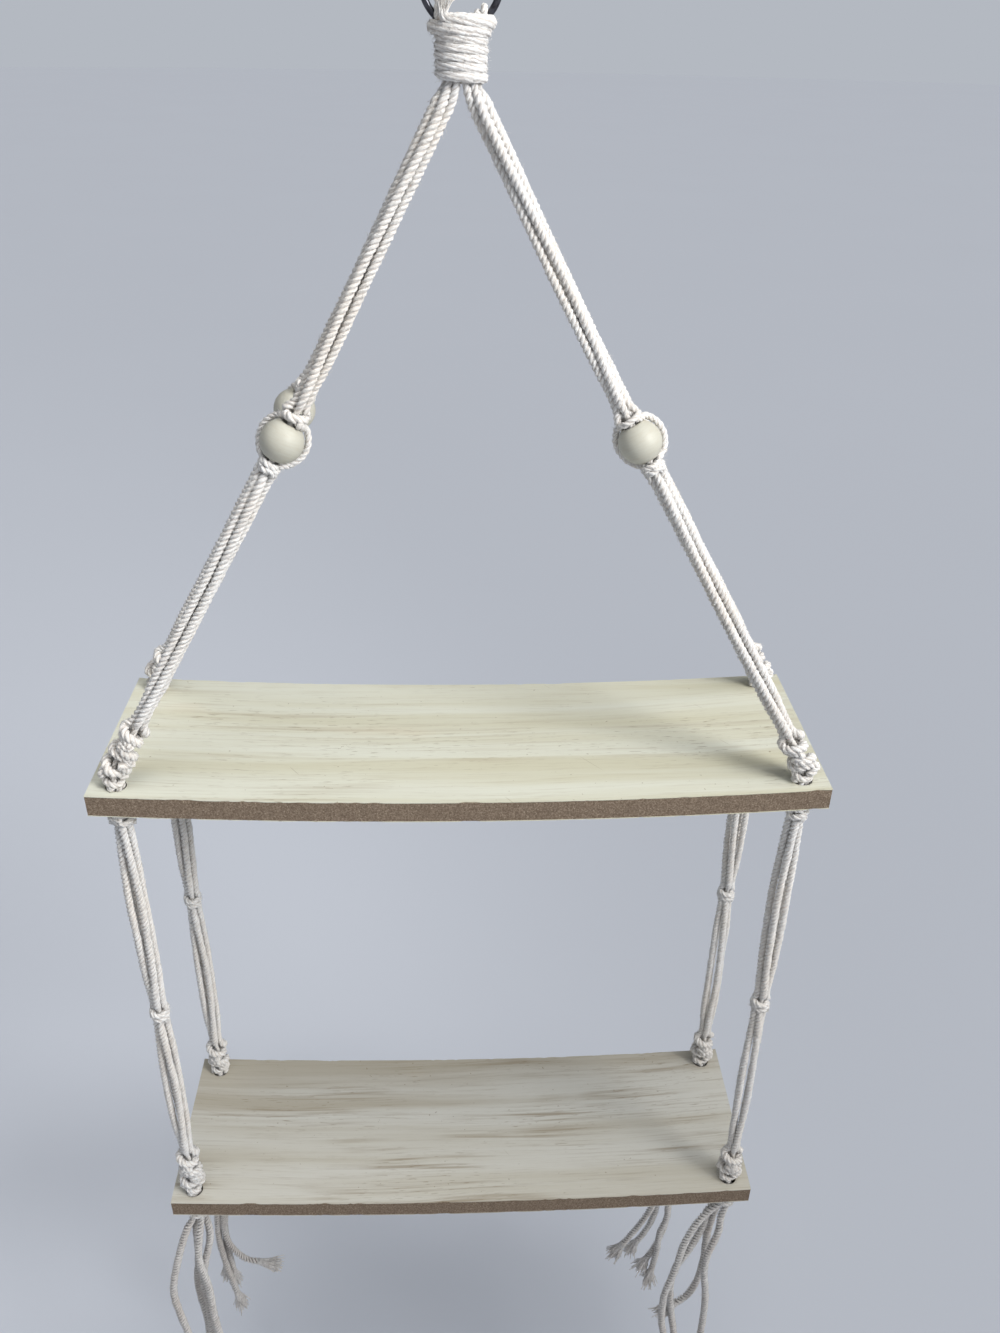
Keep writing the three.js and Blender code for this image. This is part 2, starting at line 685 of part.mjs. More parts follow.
function addLoops() {
  [-1, 1].forEach((side) => seats.forEach((seat, index) => {
    const fromLeft = side < 0 ? index + 1 : 2 * seats.length - index;
    addPiece(`cord_loop_${fromLeft}`, loopGeometry(side, index), cotton);
  }));
}

function addBead(leg) {
  const share = leg.bead / leg.length;
  const bead = addPiece(`${leg.name}_bead`, beadGeometry(), beadWood);
  const axis = leg.route.getTangentAt(share).negate();
  bead.position.copy(leg.route.getPointAt(share));
  bead.quaternion.setFromUnitVectors(new THREE.Vector3(0, 1, 0), axis);
}

function addUpperLeg(corner) {
  const leg = upperLeg(corner);
  addPiece(`${corner.name}_upper_knotting_cords`, upperKnottingGeometry(leg), cotton);
  fillerSeats.forEach((seat, i) => addPiece(
    `${corner.name}_upper_filler_${i + 1}`, upperFillerGeometry(leg, seat), cotton));
  addBead(leg);
}

function addLowerLeg(corner) {
  const leg = lowerLeg(corner);
  addPiece(`${corner.name}_lower_knotting_cords`, lowerKnottingGeometry(leg), cotton);
  fillerSeats.forEach((seat, i) => addPiece(
    `${corner.name}_lower_filler_${i + 1}`, lowerFillerGeometry(leg, seat), cotton));
}

function addTassel(corner) {
  addPiece(`${corner.name}_stop_knot`, lowerStopKnotGeometry(corner), cotton);
  corner.tassel.forEach((offsets, i) => addPiece(
    `${corner.name}_tassel_strand_${i + 1}`, tasselStrandGeometry(corner, offsets), cotton));
}

addPiece('hanging_ring', ringGeometry(), darkSteel);
addLoops();
addPiece('gathering_wrap', wrapGeometry(), cotton);
addPiece('upper_shelf', shelfGeometry(upperShelfDrop), veneer);
addPiece('lower_shelf', shelfGeometry(lowerShelfDrop), veneer);
corners.forEach((corner) => {
  addUpperLeg(corner);
  addLowerLeg(corner);
  addTassel(corner);
});

export default part;
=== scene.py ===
"""A hanging rope shelf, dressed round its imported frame: twisted cotton cords and their knots, two
veneered shelves, four turned beads and a steel ring.

Metres, +Z up, front towards -Y. The origin is where a hook bears on the ring's inside.
"""

import logging
import math
from dataclasses import dataclass, field
from enum import Enum

import bmesh
import bpy
import numpy as np
from mathutils import Matrix, Vector

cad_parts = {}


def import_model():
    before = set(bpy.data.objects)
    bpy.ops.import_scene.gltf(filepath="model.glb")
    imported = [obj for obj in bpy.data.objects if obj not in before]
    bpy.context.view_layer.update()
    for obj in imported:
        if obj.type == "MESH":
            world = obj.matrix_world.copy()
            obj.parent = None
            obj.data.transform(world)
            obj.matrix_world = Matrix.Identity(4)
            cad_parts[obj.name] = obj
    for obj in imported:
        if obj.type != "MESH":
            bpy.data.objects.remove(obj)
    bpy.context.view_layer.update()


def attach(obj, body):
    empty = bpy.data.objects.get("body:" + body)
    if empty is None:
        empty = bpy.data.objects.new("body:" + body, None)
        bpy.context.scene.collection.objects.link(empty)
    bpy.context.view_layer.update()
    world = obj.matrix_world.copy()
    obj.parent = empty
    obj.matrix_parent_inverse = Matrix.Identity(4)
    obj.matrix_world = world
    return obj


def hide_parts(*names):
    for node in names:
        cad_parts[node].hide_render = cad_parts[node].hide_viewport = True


LOG = logging.getLogger("rope_shelf")
RANDOM_SEED = 7

MM = 0.001
FULL_TURN = 2 * math.pi

# The order of a quad's corners that turns its face over
TURNED_OVER = [0, 3, 2, 1]

Points = np.ndarray
Draws = np.random.Generator
Socket = bpy.types.NodeSocket
Material = bpy.types.Material
Colour = tuple[float, float, float, float]


def srgb(red: int, green: int, blue: int) -> Colour:
    """Turns a colour as a screen shows it into the linear one that a shader takes.

    Args:
        red: Red from 0 to 255.
        green: Green from 0 to 255.
        blue: Blue from 0 to 255.

    Returns:
        The linear colour with an alpha of 1.
    """
    parts = []
    for channel in (red, green, blue):
        share = channel / 255
        parts.append(share / 12.92 if share <= 0.04045 else ((share + 0.055) / 1.055) ** 2.4)
    return (*parts, 1.0)


class Corner(Enum):
    """A corner of the shelves: its name, its side along X and its row along Y."""

    FRONT_LEFT = ("front_left", -1, -1)
    FRONT_RIGHT = ("front_right", 1, -1)
    BACK_LEFT = ("back_left", -1, 1)
    BACK_RIGHT = ("back_right", 1, 1)

    def __init__(self, label: str, side: int, row: int) -> None:
        """Keeps the corner's name and signs.

        Args:
            label: Its name.
            side: -1 on the left, 1 on the right.
            row: -1 in front, 1 at the back.
        """
        self.label = label
        self.side = side
        self.row = row

    @property
    def ropes_body(self) -> str:
        """The body that the corner's lower ropes ride on."""
        return "left_lower_ropes" if self.side < 0 else "right_lower_ropes"


# Finishes


@dataclass(frozen=True)
class Grain:
    """A noise: its scale, one for all axes or one for each, its octaves and its character."""

    scale: float | tuple[float, float, float]
    detail: float = 2.0
    roughness: float = 0.5
    distortion: float = 0.0


@dataclass(frozen=True)
class Ramp:
    """A range of a value, and what its start and its end are turned into."""

    low: float
    high: float
    start: float = 0.0
    end: float = 1.0


class Shader:
    """A material's node tree, with short ways to add nodes and to join them."""

    def __init__(self, name: str) -> None:
        """Starts a material with one principled shader.

        Args:
            name: The material's name.
        """
        self.material = bpy.data.materials.new(name)
        self.material.use_nodes = True
        self.tree = self.material.node_tree
        self.surface = self.tree.nodes["Principled BSDF"]

    def feed(self, socket: Socket, value: object) -> None:
        """Links a socket, or sets it where the value isn't a socket.

        Args:
            socket: The input.
            value: An output socket or a constant.
        """
        if isinstance(value, Socket):
            self.tree.links.new(value, socket)
        elif value is not None:
            socket.default_value = value

    def add(self, kind: str, output: str | int, inputs: dict, **settings: object) -> Socket:
        """Adds a node and gives one of its outputs.

        Args:
            kind: The node's type name.
            output: The output's name or number.
            inputs: What its inputs are fed with, by their names or numbers.
            **settings: Properties of the node.

        Returns:
            The output.
        """
        node = self.tree.nodes.new(kind)
        for name, value in settings.items():
            setattr(node, name, value)
        for name, value in inputs.items():
            self.feed(node.inputs[name], value)
        return node.outputs[output]

    def place(self) -> Socket:
        """Gives the place on the object in metres."""
        return self.add("ShaderNodeTexCoord", "Object", {})

    def attribute(self, name: str, output: str = "Vector") -> Socket:
        """Gives a mesh attribute's value."""
        return self.add("ShaderNodeAttribute", output, {}, attribute_name=name)

    def depth(self, vector: Socket) -> Socket:
        """Gives how far back a place lies."""
        return self.add("ShaderNodeSeparateXYZ", "Y", {0: vector})

    def reckon(self, operation: str, first: object, second: object) -> Socket:
        """Adds, multiplies or subtracts two numbers."""
        return self.add("ShaderNodeMath", 0, {0: first, 1: second}, operation=operation)

    def stretch(self, vector: Socket, by: tuple[float, float, float]) -> Socket:
        """Scales a vector by a factor along each axis."""
        return self.add("ShaderNodeVectorMath", 0, {0: vector, 1: by}, operation="MULTIPLY")

    def shift(self, vector: Socket, by: object) -> Socket:
        """Adds to a vector."""
        return self.add("ShaderNodeVectorMath", 0, {0: vector, 1: by}, operation="ADD")

    def turn(self, vector: Socket, angle: float) -> Socket:
        """Turns a vector about Z."""
        inputs = {"Vector": vector, "Angle": angle}
        return self.add("ShaderNodeVectorRotate", "Vector", inputs, rotation_type="Z_AXIS")

    def noise(self, vector: Socket, grain: Grain) -> Socket:
        """Adds a noise texture.

        Args:
            vector: Where it is read.
            grain: Its scale and character.

        Returns:
            The noise's value.
        """
        scale = grain.scale
        if isinstance(scale, tuple):
            vector, scale = self.stretch(vector, scale), 1.0
        inputs = {
            "Vector": vector,
            "Scale": scale,
            "Detail": grain.detail,
            "Roughness": grain.roughness,
            "Distortion": grain.distortion,
        }
        return self.add("ShaderNodeTexNoise", "Fac", inputs)

    def between(self, value: Socket, ramp: Ramp) -> Socket:
        """Maps a range of a value smoothly onto another range, held at its ends.

        Args:
            value: The value.
            ramp: Both ranges.

        Returns:
            The mapped value.
        """
        inputs = {
            "Value": value,
            "From Min": ramp.low,
            "From Max": ramp.high,
            "To Min": ramp.start,
            "To Max": ramp.end,
        }
        return self.add("ShaderNodeMapRange", "Result", inputs, interpolation_type="SMOOTHSTEP")

    def blend(self, share: Socket, first: object, second: object) -> Socket:
        """Blends two colours by how much of the second shows."""
        inputs = {"Factor": share, 6: first, 7: second}
        return self.add("ShaderNodeMix", 2, inputs, data_type="RGBA", blend_type="MIX")

    def bump(self, height: Socket, relief: float) -> Socket:
        """Turns a height, whose 1 is a relief in metres, into a normal."""
        inputs = {"Strength": 1.0, "Distance": relief, "Height": height}
        return self.add("ShaderNodeBump", "Normal", inputs)

    def finish(
        self, colour: Socket, roughness: object, normal: Socket | None, **constants: object
    ) -> Material:
        """Joins the parts of the finish to the shader.

        Args:
            colour: The base colour.
            roughness: The roughness.
            normal: The normal.
            **constants: Other inputs of the shader, with underscores for spaces.

        Returns:
            The material.
        """
        self.feed(self.surface.inputs["Base Color"], colour)
        self.feed(self.surface.inputs["Roughness"], roughness)
        self.feed(self.surface.inputs["Normal"], normal)
        for name, value in constants.items():
            self.feed(self.surface.inputs[name.replace("_", " ")], value)
        return self.material


@dataclass(frozen=True)
class Cotton:
    """Natural cotton cord: fine fibres along the cord, and painted shade in the grooves between its plies.
    """

    name: str = "cotton_cord"
    light: Colour = srgb(250, 249, 246)
    cream: Colour = srgb(246, 241, 233)
    # Colour of the painted shade in the grooves between the plies; the darker fibres and tufts take it
    # too.
    groove: Colour = srgb(184, 169, 155)
    groove_shade_marks: Ramp = Ramp(0.22, 1.0, 0.0, 0.5)
    fibres: Grain = Grain((3.4, 3.4, 0.55), 3.0, 0.6, 0.3)
    fibre_marks: Ramp = Ramp(0.3, 0.6, 0.35, 0.0)
    tufts: Grain = Grain((0.9, 0.9, 0.5))
    tuft_marks: Ramp = Ramp(0.35, 0.55, 0.3, 0.0)
    patches: Grain = Grain(22.0)
    patch_marks: Ramp = Ramp(0.35, 0.7)
    relief: float = 0.5 * MM
    roughness: float = 0.92

    def material(self) -> Material:
        """Makes the finish from the cord's own coordinates.

        Returns:
            The material.
        """
        shader = Shader(self.name)
        lay = shader.attribute("lay")
        fibres = shader.noise(lay, self.fibres)
        tufts = shader.noise(lay, self.tufts)
        patches = shader.noise(shader.place(), self.patches)
        # How deep in a groove each point lies: the mask of the painted shade between the plies.
        grooves = shader.attribute("groove", "Fac")
        colour = shader.blend(shader.between(patches, self.patch_marks), self.light, self.cream)
        for marks, ramp in (
            (fibres, self.fibre_marks),
            (tufts, self.tuft_marks),
            (grooves, self.groove_shade_marks),
        ):
            colour = shader.blend(shader.between(marks, ramp), colour, self.groove)
        return shader.finish(
            colour,
            self.roughness,
            shader.bump(shader.reckon("ADD", fibres, tufts), self.relief),
            Sheen_Weight=0.35,
            Sheen_Roughness=0.6,
            Subsurface_Weight=0.3,
            Subsurface_Radius=(1.0, 0.96, 0.92),
            Subsurface_Scale=1.2 * MM,
            Specular_IOR_Level=0.2,
        )


@dataclass(frozen=True)
class Veneer:
    """Pale, slightly green veneer: faint bands, fine streaks, short dark dashes, specks and scratches, and
    painted shade towards its back edge where that is set.
    """

    name: str
    pale: Colour = srgb(212, 212, 197)
    straw: Colour = srgb(195, 190, 163)
    # The colour of the fine streaks, which also draws the painted shade towards the back edge.
    streak_and_back_shade: Colour = srgb(168, 156, 130)
    dash: Colour = srgb(128, 110, 84)
    stain: Colour = srgb(214, 186, 146)
    shift: float = 0.0
    drift: Grain = Grain((2.5, 9.0, 1.0))
    bend: float = 0.035
    bands: Grain = Grain((1.6, 42.0, 1.0), 3.0, 0.55)
    band_marks: Ramp = Ramp(0.36, 0.66, 0.0, 0.75)
    # Painted shade towards the back edge, as where the upper shelf shades the lower one: how its edge
    # wanders with the bands, and how dark it gets; none by default.
    back_shade_drift: Ramp = Ramp(0.3, 0.7, -0.05, 0.05)
    back_shade_marks: Ramp = Ramp(-0.02, 0.07, 0.0, 0.0)
    fine: Grain = Grain((15.0, 560.0, 1.0), 4.0, 0.75)
    fine_marks: Ramp = Ramp(0.5, 0.72, 0.0, 0.4)
    lines: Grain = Grain((6.0, 200.0, 1.0), 3.0, 0.6)
    line_marks: Ramp = Ramp(0.48, 0.66, 0.0, 0.4)
    line_patches: Ramp = Ramp(0.36, 0.6)
    dashes: Grain = Grain((85.0, 1150.0, 1.0), 2.0, 0.55)
    dash_marks: Ramp = Ramp(0.62, 0.7)
    dash_patches: Ramp = Ramp(0.38, 0.62, 0.1, 0.7)
    patches: Grain = Grain((9.0, 26.0, 1.0))
    specks: Grain = Grain(420.0, 1.0)
    speck_marks: Ramp = Ramp(0.76, 0.8, 0.0, 0.6)
    scratches: Grain = Grain((22.0, 700.0, 1.0), 1.0, 0.4)
    scratch_turn: float = 0.9
    scratch_marks: Ramp = Ramp(0.8, 0.83, 0.0, 0.4)
    stains: Grain = Grain((7.0, 14.0, 1.0))
    stain_marks: Ramp = Ramp(0.66, 0.8, 0.0, 0.35)
    fine_relief: float = 0.5
    relief: float = 0.05 * MM
    dullness: Ramp = Ramp(0.3, 0.7, 0.48, 0.6)

    def material(self) -> Material:
        """Makes the finish, with its grain along X.

        Returns:
            The material.
        """
        shader = Shader(self.name)
        here = shader.place()
        place = shader.shift(here, (self.shift, self.shift, 0.0))
        drift = shader.stretch(shader.noise(place, self.drift), (0.0, self.bend, 0.0))
        bent = shader.shift(shader.stretch(place, (1.0, 1.0, 0.0)), drift)
        bands, fine = shader.noise(bent, self.bands), shader.noise(bent, self.fine)
        lines, dashes = shader.noise(bent, self.lines), shader.noise(bent, self.dashes)
        patches, specks = shader.noise(place, self.patches), shader.noise(place, self.specks)
        scratches = shader.noise(shader.turn(place, self.scratch_turn), self.scratches)
        stains = shader.noise(place, self.stains)
        # Painted shade: a mask that grows towards the back edge, its edge wandering with the bands.
        painted_back_shade = shader.reckon("ADD", shader.depth(here), shader.between(bands, self.back_shade_drift))
        lined = shader.reckon(
            "MULTIPLY", shader.between(lines, self.line_marks), shader.between(patches, self.line_patches)
        )
        dashed = shader.reckon(
            "MULTIPLY", shader.between(dashes, self.dash_marks), shader.between(patches, self.dash_patches)
        )
        colour = shader.blend(shader.between(bands, self.band_marks), self.pale, self.straw)
        for share, mark in (
            # The painted shade towards the back edge, drawn in the streak colour.
            (shader.between(painted_back_shade, self.back_shade_marks), self.streak_and_back_shade),
            (shader.between(fine, self.fine_marks), self.streak_and_back_shade),
            (lined, self.streak_and_back_shade),
            (dashed, self.dash),
            (shader.between(specks, self.speck_marks), self.dash),
            (shader.between(scratches, self.scratch_marks), self.dash),
            (shader.between(stains, self.stain_marks), self.stain),
        ):
            colour = shader.blend(share, colour, mark)
        height = shader.reckon("SUBTRACT", shader.reckon("MULTIPLY", fine, self.fine_relief), dashed)
        normal = shader.bump(height, self.relief)
        return shader.finish(
            colour, shader.between(bands, self.dullness), normal, Specular_IOR_Level=0.35
        )


@dataclass(frozen=True)
class Fibreboard:
    """Raw brown fibreboard edge, speckled light and dark, with a sawn, crumbly surface."""

    name: str = "fibreboard_edge"
    brown: Colour = srgb(142, 126, 109)
    dark: Colour = srgb(104, 89, 75)
    fleck: Colour = srgb(205, 190, 168)
    grains: Grain = Grain(900.0, 3.0, 0.7)
    grain_marks: Ramp = Ramp(0.35, 0.65)
    clumps: Grain = Grain(320.0)
    clump_marks: Ramp = Ramp(0.4, 0.7, 0.0, 0.35)
    flecks: Grain = Grain(1100.0, 2.0, 0.6)
    fleck_shift: tuple[float, float, float] = (0.3, 0.1, 0.2)
    fleck_marks: Ramp = Ramp(0.6, 0.72, 0.0, 0.55)
    relief: float = 0.25 * MM
    roughness: float = 0.95

    def material(self) -> Material:
        """Makes the finish.

        Returns:
            The material.
        """
        shader = Shader(self.name)
        place = shader.place()
        grains, clumps = shader.noise(place, self.grains), shader.noise(place, self.clumps)
        flecks = shader.noise(shader.shift(place, self.fleck_shift), self.flecks)
        colour = shader.blend(shader.between(grains, self.grain_marks), self.dark, self.brown)
        colour = shader.blend(shader.between(clumps, self.clump_marks), colour, self.dark)
        colour = shader.blend(shader.between(flecks, self.fleck_marks), colour, self.fleck)
        normal = shader.bump(shader.reckon("ADD", grains, clumps), self.relief)
        return shader.finish(colour, self.roughness, normal, Specular_IOR_Level=0.15)


@dataclass(frozen=True)
class BeadWood:
    """Bare turned wood: faint rings across a pale bead, with a few dark pores."""

    name: str = "bead_wood"
    pale: Colour = srgb(187, 185, 172)
    ring: Colour = srgb(184, 180, 165)
    pore: Colour = srgb(132, 116, 92)
    rings: Grain = Grain((0.15, 1.1, 0.15), 3.0, 0.6, 0.4)
    ring_marks: Ramp = Ramp(0.38, 0.68)
    pores: Grain = Grain((1.2, 2.6, 1.2))
    pore_marks: Ramp = Ramp(0.7, 0.76, 0.0, 0.5)
    relief: float = 0.03 * MM
    roughness: float = 0.5

    def material(self) -> Material:
        """Makes the finish.

        Returns:
            The material.
        """
        shader = Shader(self.name)
        place = shader.attribute("turned")
        rings, pores = shader.noise(place, self.rings), shader.noise(place, self.pores)
        colour = shader.blend(shader.between(rings, self.ring_marks), self.pale, self.ring)
        colour = shader.blend(shader.between(pores, self.pore_marks), colour, self.pore)
        normal = shader.bump(shader.reckon("ADD", rings, pores), self.relief)
        return shader.finish(colour, self.roughness, normal, Specular_IOR_Level=0.4)


@dataclass(frozen=True)
class RingSteel:
    """Dark bare steel wire, drawn along its length."""

    name: str = "ring_steel"
    steel: Colour = srgb(92, 92, 98)
    dull: Colour = srgb(52, 50, 52)
    patches: Grain = Grain(260.0, 4.0, 0.6)
    patch_marks: Ramp = Ramp(0.35, 0.7)
    dullness: Ramp = Ramp(0.3, 0.7, 0.28, 0.5)
    scratches: Grain = Grain((400.0, 4000.0, 400.0))
    relief: float = 0.02 * MM

    def material(self) -> Material:
        """Makes the finish.

        Returns:
            The material.
        """
        shader = Shader(self.name)
        place = shader.place()
        patches = shader.noise(place, self.patches)
        colour = shader.blend(shader.between(patches, self.patch_marks), self.steel, self.dull)
        normal = shader.bump(shader.noise(place, self.scratches), self.relief)
        return shader.finish(colour, shader.between(patches, self.dullness), normal, Metallic=1.0)


@dataclass(frozen=True)
class StudioFloor:
    """Plain pale floor."""

    name: str = "studio_floor"
    tone: Colour = srgb(208, 212, 220)
    shade: Colour = srgb(206, 210, 218)
    clouds: Grain = Grain(1.2)
    roughness: float = 0.9

    def material(self) -> Material:
        """Makes the finish.

        Returns:
            The material.
        """
        shader = Shader(self.name)
        colour = shader.blend(shader.noise(shader.place(), self.clouds), self.tone, self.shade)
        return shader.finish(colour, self.roughness, None, Specular_IOR_Level=0.1)


# The tassels' cotton: a darker copy of the cord cotton, as painted shade where they hang low in dimmer
# light, with deeper painted shade in the grooves between the plies.
SHADED_LOOSE_COTTON = Cotton(
    name="cotton_ends_painted_shade",
    light=srgb(240, 237, 233),
    cream=srgb(232, 225, 218),
    groove=srgb(106, 95, 88),
    groove_shade_marks=Ramp(0.0, 1.0),
)
# The lower shelf's veneer: a darker, greyer copy of the upper one, as painted shade under the upper shelf,
# with painted shade towards its back edge and more fine streaks of its own grain.
SHADED_LOWER_VENEER = Veneer(
    name="lower_veneer_painted_shade",
    pale=srgb(206, 204, 195),
    straw=srgb(188, 182, 165),
    streak_and_back_shade=srgb(152, 139, 118),
    shift=0.7,
    back_shade_marks=Ramp(-0.02, 0.07, 0.0, 0.33),
    line_marks=Ramp(0.48, 0.66, 0.0, 0.8),
)


# Geometry helpers


def as_array(points: list) -> Points:
    """Turns points into rows of numbers."""
    return np.array([tuple(point) for point in points], float)


def smooth_route(points: Points, step: float) -> Points:
    """Runs a centripetal Catmull-Rom curve through points.

    Args:
        points: Rows whose first three numbers are a place; what follows is carried along.
        step: The spacing of the points given back, in metres.

    Returns:
        Rows evenly spaced along the curve.
    """
    ends = np.vstack([2 * points[0] - points[1], points, 2 * points[-1] - points[-2]])
    pieces = []
    for p0, p1, p2, p3 in zip(ends, ends[1:], ends[2:], ends[3:]):
        gaps = [max(np.linalg.norm((b - a)[:3]), 1e-9) ** 0.5 for a, b in ((p0, p1), (p1, p2), (p2, p3))]
        leave = ((p1 - p0) / gaps[0] - (p2 - p0) / (gaps[0] + gaps[1]) + (p2 - p1) / gaps[1]) * gaps[1]
        arrive = ((p2 - p1) / gaps[1] - (p3 - p1) / (gaps[1] + gaps[2]) + (p3 - p2) / gaps[2]) * gaps[1]
        count = max(4, int(np.linalg.norm((p2 - p1)[:3]) / step) + 1)
        t = np.linspace(0, 1, count, endpoint=False)[:, None]
        pieces.append(
            (2 * t**3 - 3 * t**2 + 1) * p1
            + (t**3 - 2 * t**2 + t) * leave
            + (3 * t**2 - 2 * t**3) * p2
            + (t**3 - t**2) * arrive
        )
    return even(np.vstack([*pieces, ends[-2][None]]), step)


def even(rows: Points, step: float) -> Points:
    """Spaces rows evenly along the line through their places.

    Args:
        rows: Rows that start with a place.
        step: The spacing.

    Returns:
        The rows at that spacing.
    """
    runs = np.linalg.norm(np.diff(rows[:, :3], axis=0), axis=1)
    along = np.concatenate([[0], np.cumsum(runs)])
    count = max(2, int(round(along[-1] / step)) + 1)
    at = np.linspace(0, along[-1], count)
    return np.stack([np.interp(at, along, rows[:, k]) for k in range(rows.shape[1])], axis=1)


def lengths_along(rows: Points) -> Points:
    """Gives each row's distance along the line."""
    return np.concatenate([[0], np.cumsum(np.linalg.norm(np.diff(rows[:, :3], axis=0), axis=1))])


def unit(rows: Points) -> Points:
    """Scales a direction, or each row of directions, to a length of 1."""
    return rows / np.linalg.norm(rows, axis=-1, keepdims=True)


def carried_frames(places: Points) -> tuple[Points, Points, Points]:
    """Carries a pair of axes along a line without turning them about it.

    Args:
        places: Points along the line.

    Returns:
        The tangents and the two axes square to them.
    """
    tangents = unit(np.gradient(places, axis=0))
    across = np.cross(tangents[0], (0.0, 1.0, 0.0))
    if np.linalg.norm(across) < 0.1:
        across = np.cross(tangents[0], (1.0, 0.0, 0.0))
    first = np.zeros_like(places)
    axis = unit(across)
    for i, tangent in enumerate(tangents):
        axis = axis - tangent * (axis @ tangent)
        axis = axis / np.linalg.norm(axis)
        first[i] = axis
    return tangents, first, np.cross(tangents, first)


def tubes(places: Points, x: Points, y: Points, first: Points, second: Points) -> Points:
    """Sets the corners of a tube's rings out from its middle line, along two axes square to it."""
    return places[:, None] + x[..., None] * first[:, None] + y[..., None] * second[:, None]


def grid_faces(rings: int, sides: int, closed: bool) -> Points:
    """Joins neighbouring rings of corners with quads.

    Args:
        rings: How many rings there are.
        sides: How many corners a ring has.
        closed: Whether the last ring is joined to the first.

    Returns:
        The corners' numbers, one face to a row.
    """
    i, k = np.meshgrid(np.arange(rings if closed else rings - 1), np.arange(sides), indexing="ij")
    after, beside = (i + 1) % rings, (k + 1) % sides
    corners = [i * sides + k, i * sides + beside, after * sides + beside, after * sides + k]
    return np.stack(corners, axis=-1).reshape(-1, 4)


def put(name: str, data: bpy.types.ID) -> bpy.types.Object:
    """Makes an object of some data and adds it to the scene.

    Args:
        name: Its name.
        data: Its data.

    Returns:
        The object.
    """
    thing = bpy.data.objects.new(name, data)
    bpy.context.collection.objects.link(thing)
    return thing


def smooth_mesh(name: str, places: list, faces: list) -> bpy.types.Mesh:
    """Makes a smooth shaded mesh.

    Args:
        name: Its name.
        places: Its vertices.
        faces: Its faces.

    Returns:
        The mesh.
    """
    mesh = bpy.data.meshes.new(name)
    mesh.from_pydata(places, [], faces)
    mesh.polygons.foreach_set("use_smooth", [True] * len(faces))
    return mesh


class MeshStock:
    """Gathers vertices, faces and attributes of one piece before its mesh is made."""

    tip_share = 0.45
    # How deep in a groove loose yarns and fibres count, which sets how much painted groove shade they
    # take.
    loose_groove = 0.15

    def __init__(self) -> None:
        """Starts with nothing."""
        self.places: list[Points] = []
        self.faces: list[Points] = []
        self.triangles: list[Points] = []
        self.lay: list[Points] = []
        self.groove: list[Points] = []
        self.count = 0

    def add_corners(self, places: Points, lay: Points, groove: Points) -> None:
        """Adds vertices with their cord coordinates and their depths in a groove.

        Args:
            places: Their places.
            lay: Their cord coordinates.
            groove: Their depths, from 0 to 1.
        """
        self.places.append(places.reshape(-1, 3))
        self.lay.append(lay.reshape(-1, 3))
        self.groove.append(groove.reshape(-1))
        self.count += groove.size

    def add_rings(self, rings: Points, lay: Points, groove: Points, bulge: float) -> None:
        """Adds a closed tube.

        Args:
            rings: Places, by ring and by corner.
            lay: The cord's coordinates at them, in millimetres.
            groove: How deep in a groove each lies, from 0 to 1.
            bulge: How far the end caps stand out, in metres.
        """
        count, sides = rings.shape[:2]
        start = self.count
        self.faces.append(start + grid_faces(count, sides, closed=False))
        self.add_corners(rings, lay, groove)
        for ring, inner, order in ((0, 1, -1), (count - 1, count - 2, 1)):
            middle = rings[ring].mean(axis=0)
            out = middle - rings[inner].mean(axis=0)
            tip = middle + out / max(np.linalg.norm(out), 1e-9) * bulge
            edge = start + ring * sides + np.arange(sides)
            fan = np.stack([edge, np.roll(edge, -1), np.full(sides, self.count)], axis=-1)
            self.triangles.append(fan[:, ::order])
            self.add_corners(tip, lay[ring].mean(axis=0), np.zeros(1))

    def add_hairs(self, lines: Points, radius: float) -> None:
        """Adds many fine three-sided fibres at once.

        Args:
            lines: Their places, by fibre and by point.
            radius: Their radius at the root.
        """
        count, steps = lines.shape[:2]
        way = unit(lines[:, -1] - lines[:, 0])
        aside = np.where(np.abs(way[:, 2:]) < 0.9, (0.0, 0.0, 1.0), (1.0, 0.0, 0.0))
        first = unit(np.cross(way, aside))
        second = np.cross(way, first)
        turns = np.arange(3) * FULL_TURN / 3
        around = np.cos(turns)[:, None] * first[:, None] + np.sin(turns)[:, None] * second[:, None]
        size = radius * np.linspace(1.0, self.tip_share, steps)
        rings = lines[:, :, None] + size[:, None, None] * around[:, None]
        index = self.count + np.arange(count * steps * 3).reshape(count, steps, 3)
        beside = np.roll(index, -1, axis=2)
        faces = np.stack([index[:, :-1], beside[:, :-1], beside[:, 1:], index[:, 1:]], axis=-1)
        self.faces.append(faces.reshape(-1, 4))
        self.triangles += [index[:, 0, ::-1], index[:, -1]]
        self.add_corners(rings, rings / MM, np.full(count * steps * 3, self.loose_groove))

    def make(self, name: str) -> bpy.types.Object:
        """Makes the object.

        Args:
            name: The piece's name.

        Returns:
            The object, smooth shaded, with its cord coordinates as attributes.
        """
        quads = np.vstack(self.faces)
        fans = np.vstack(self.triangles)
        places = np.vstack(self.places)
        mesh = bpy.data.meshes.new(name)
        mesh.vertices.add(len(places))
        mesh.vertices.foreach_set("co", places.astype(np.float32).ravel())
        mesh.loops.add(quads.size + fans.size)
        corners = np.concatenate([quads.ravel(), fans.ravel()])
        mesh.loops.foreach_set("vertex_index", corners.astype(np.int32))
        mesh.polygons.add(len(quads) + len(fans))
        starts = np.concatenate([np.arange(len(quads)) * 4, quads.size + np.arange(len(fans)) * 3])
        mesh.polygons.foreach_set("loop_start", starts.astype(np.int32))
        mesh.polygons.foreach_set("use_smooth", np.ones(len(starts), bool))
        mesh.update(calc_edges=True)
        lay = mesh.attributes.new("lay", "FLOAT_VECTOR", "POINT")
        lay.data.foreach_set("vector", np.vstack(self.lay).astype(np.float32).ravel())
        # The groove depths are the mask for the cotton's painted shade between the plies.
        groove = mesh.attributes.new("groove", "FLOAT", "POINT")
        groove.data.foreach_set("value", np.concatenate(self.groove).astype(np.float32))
        mesh.validate()
        return put(name, mesh)


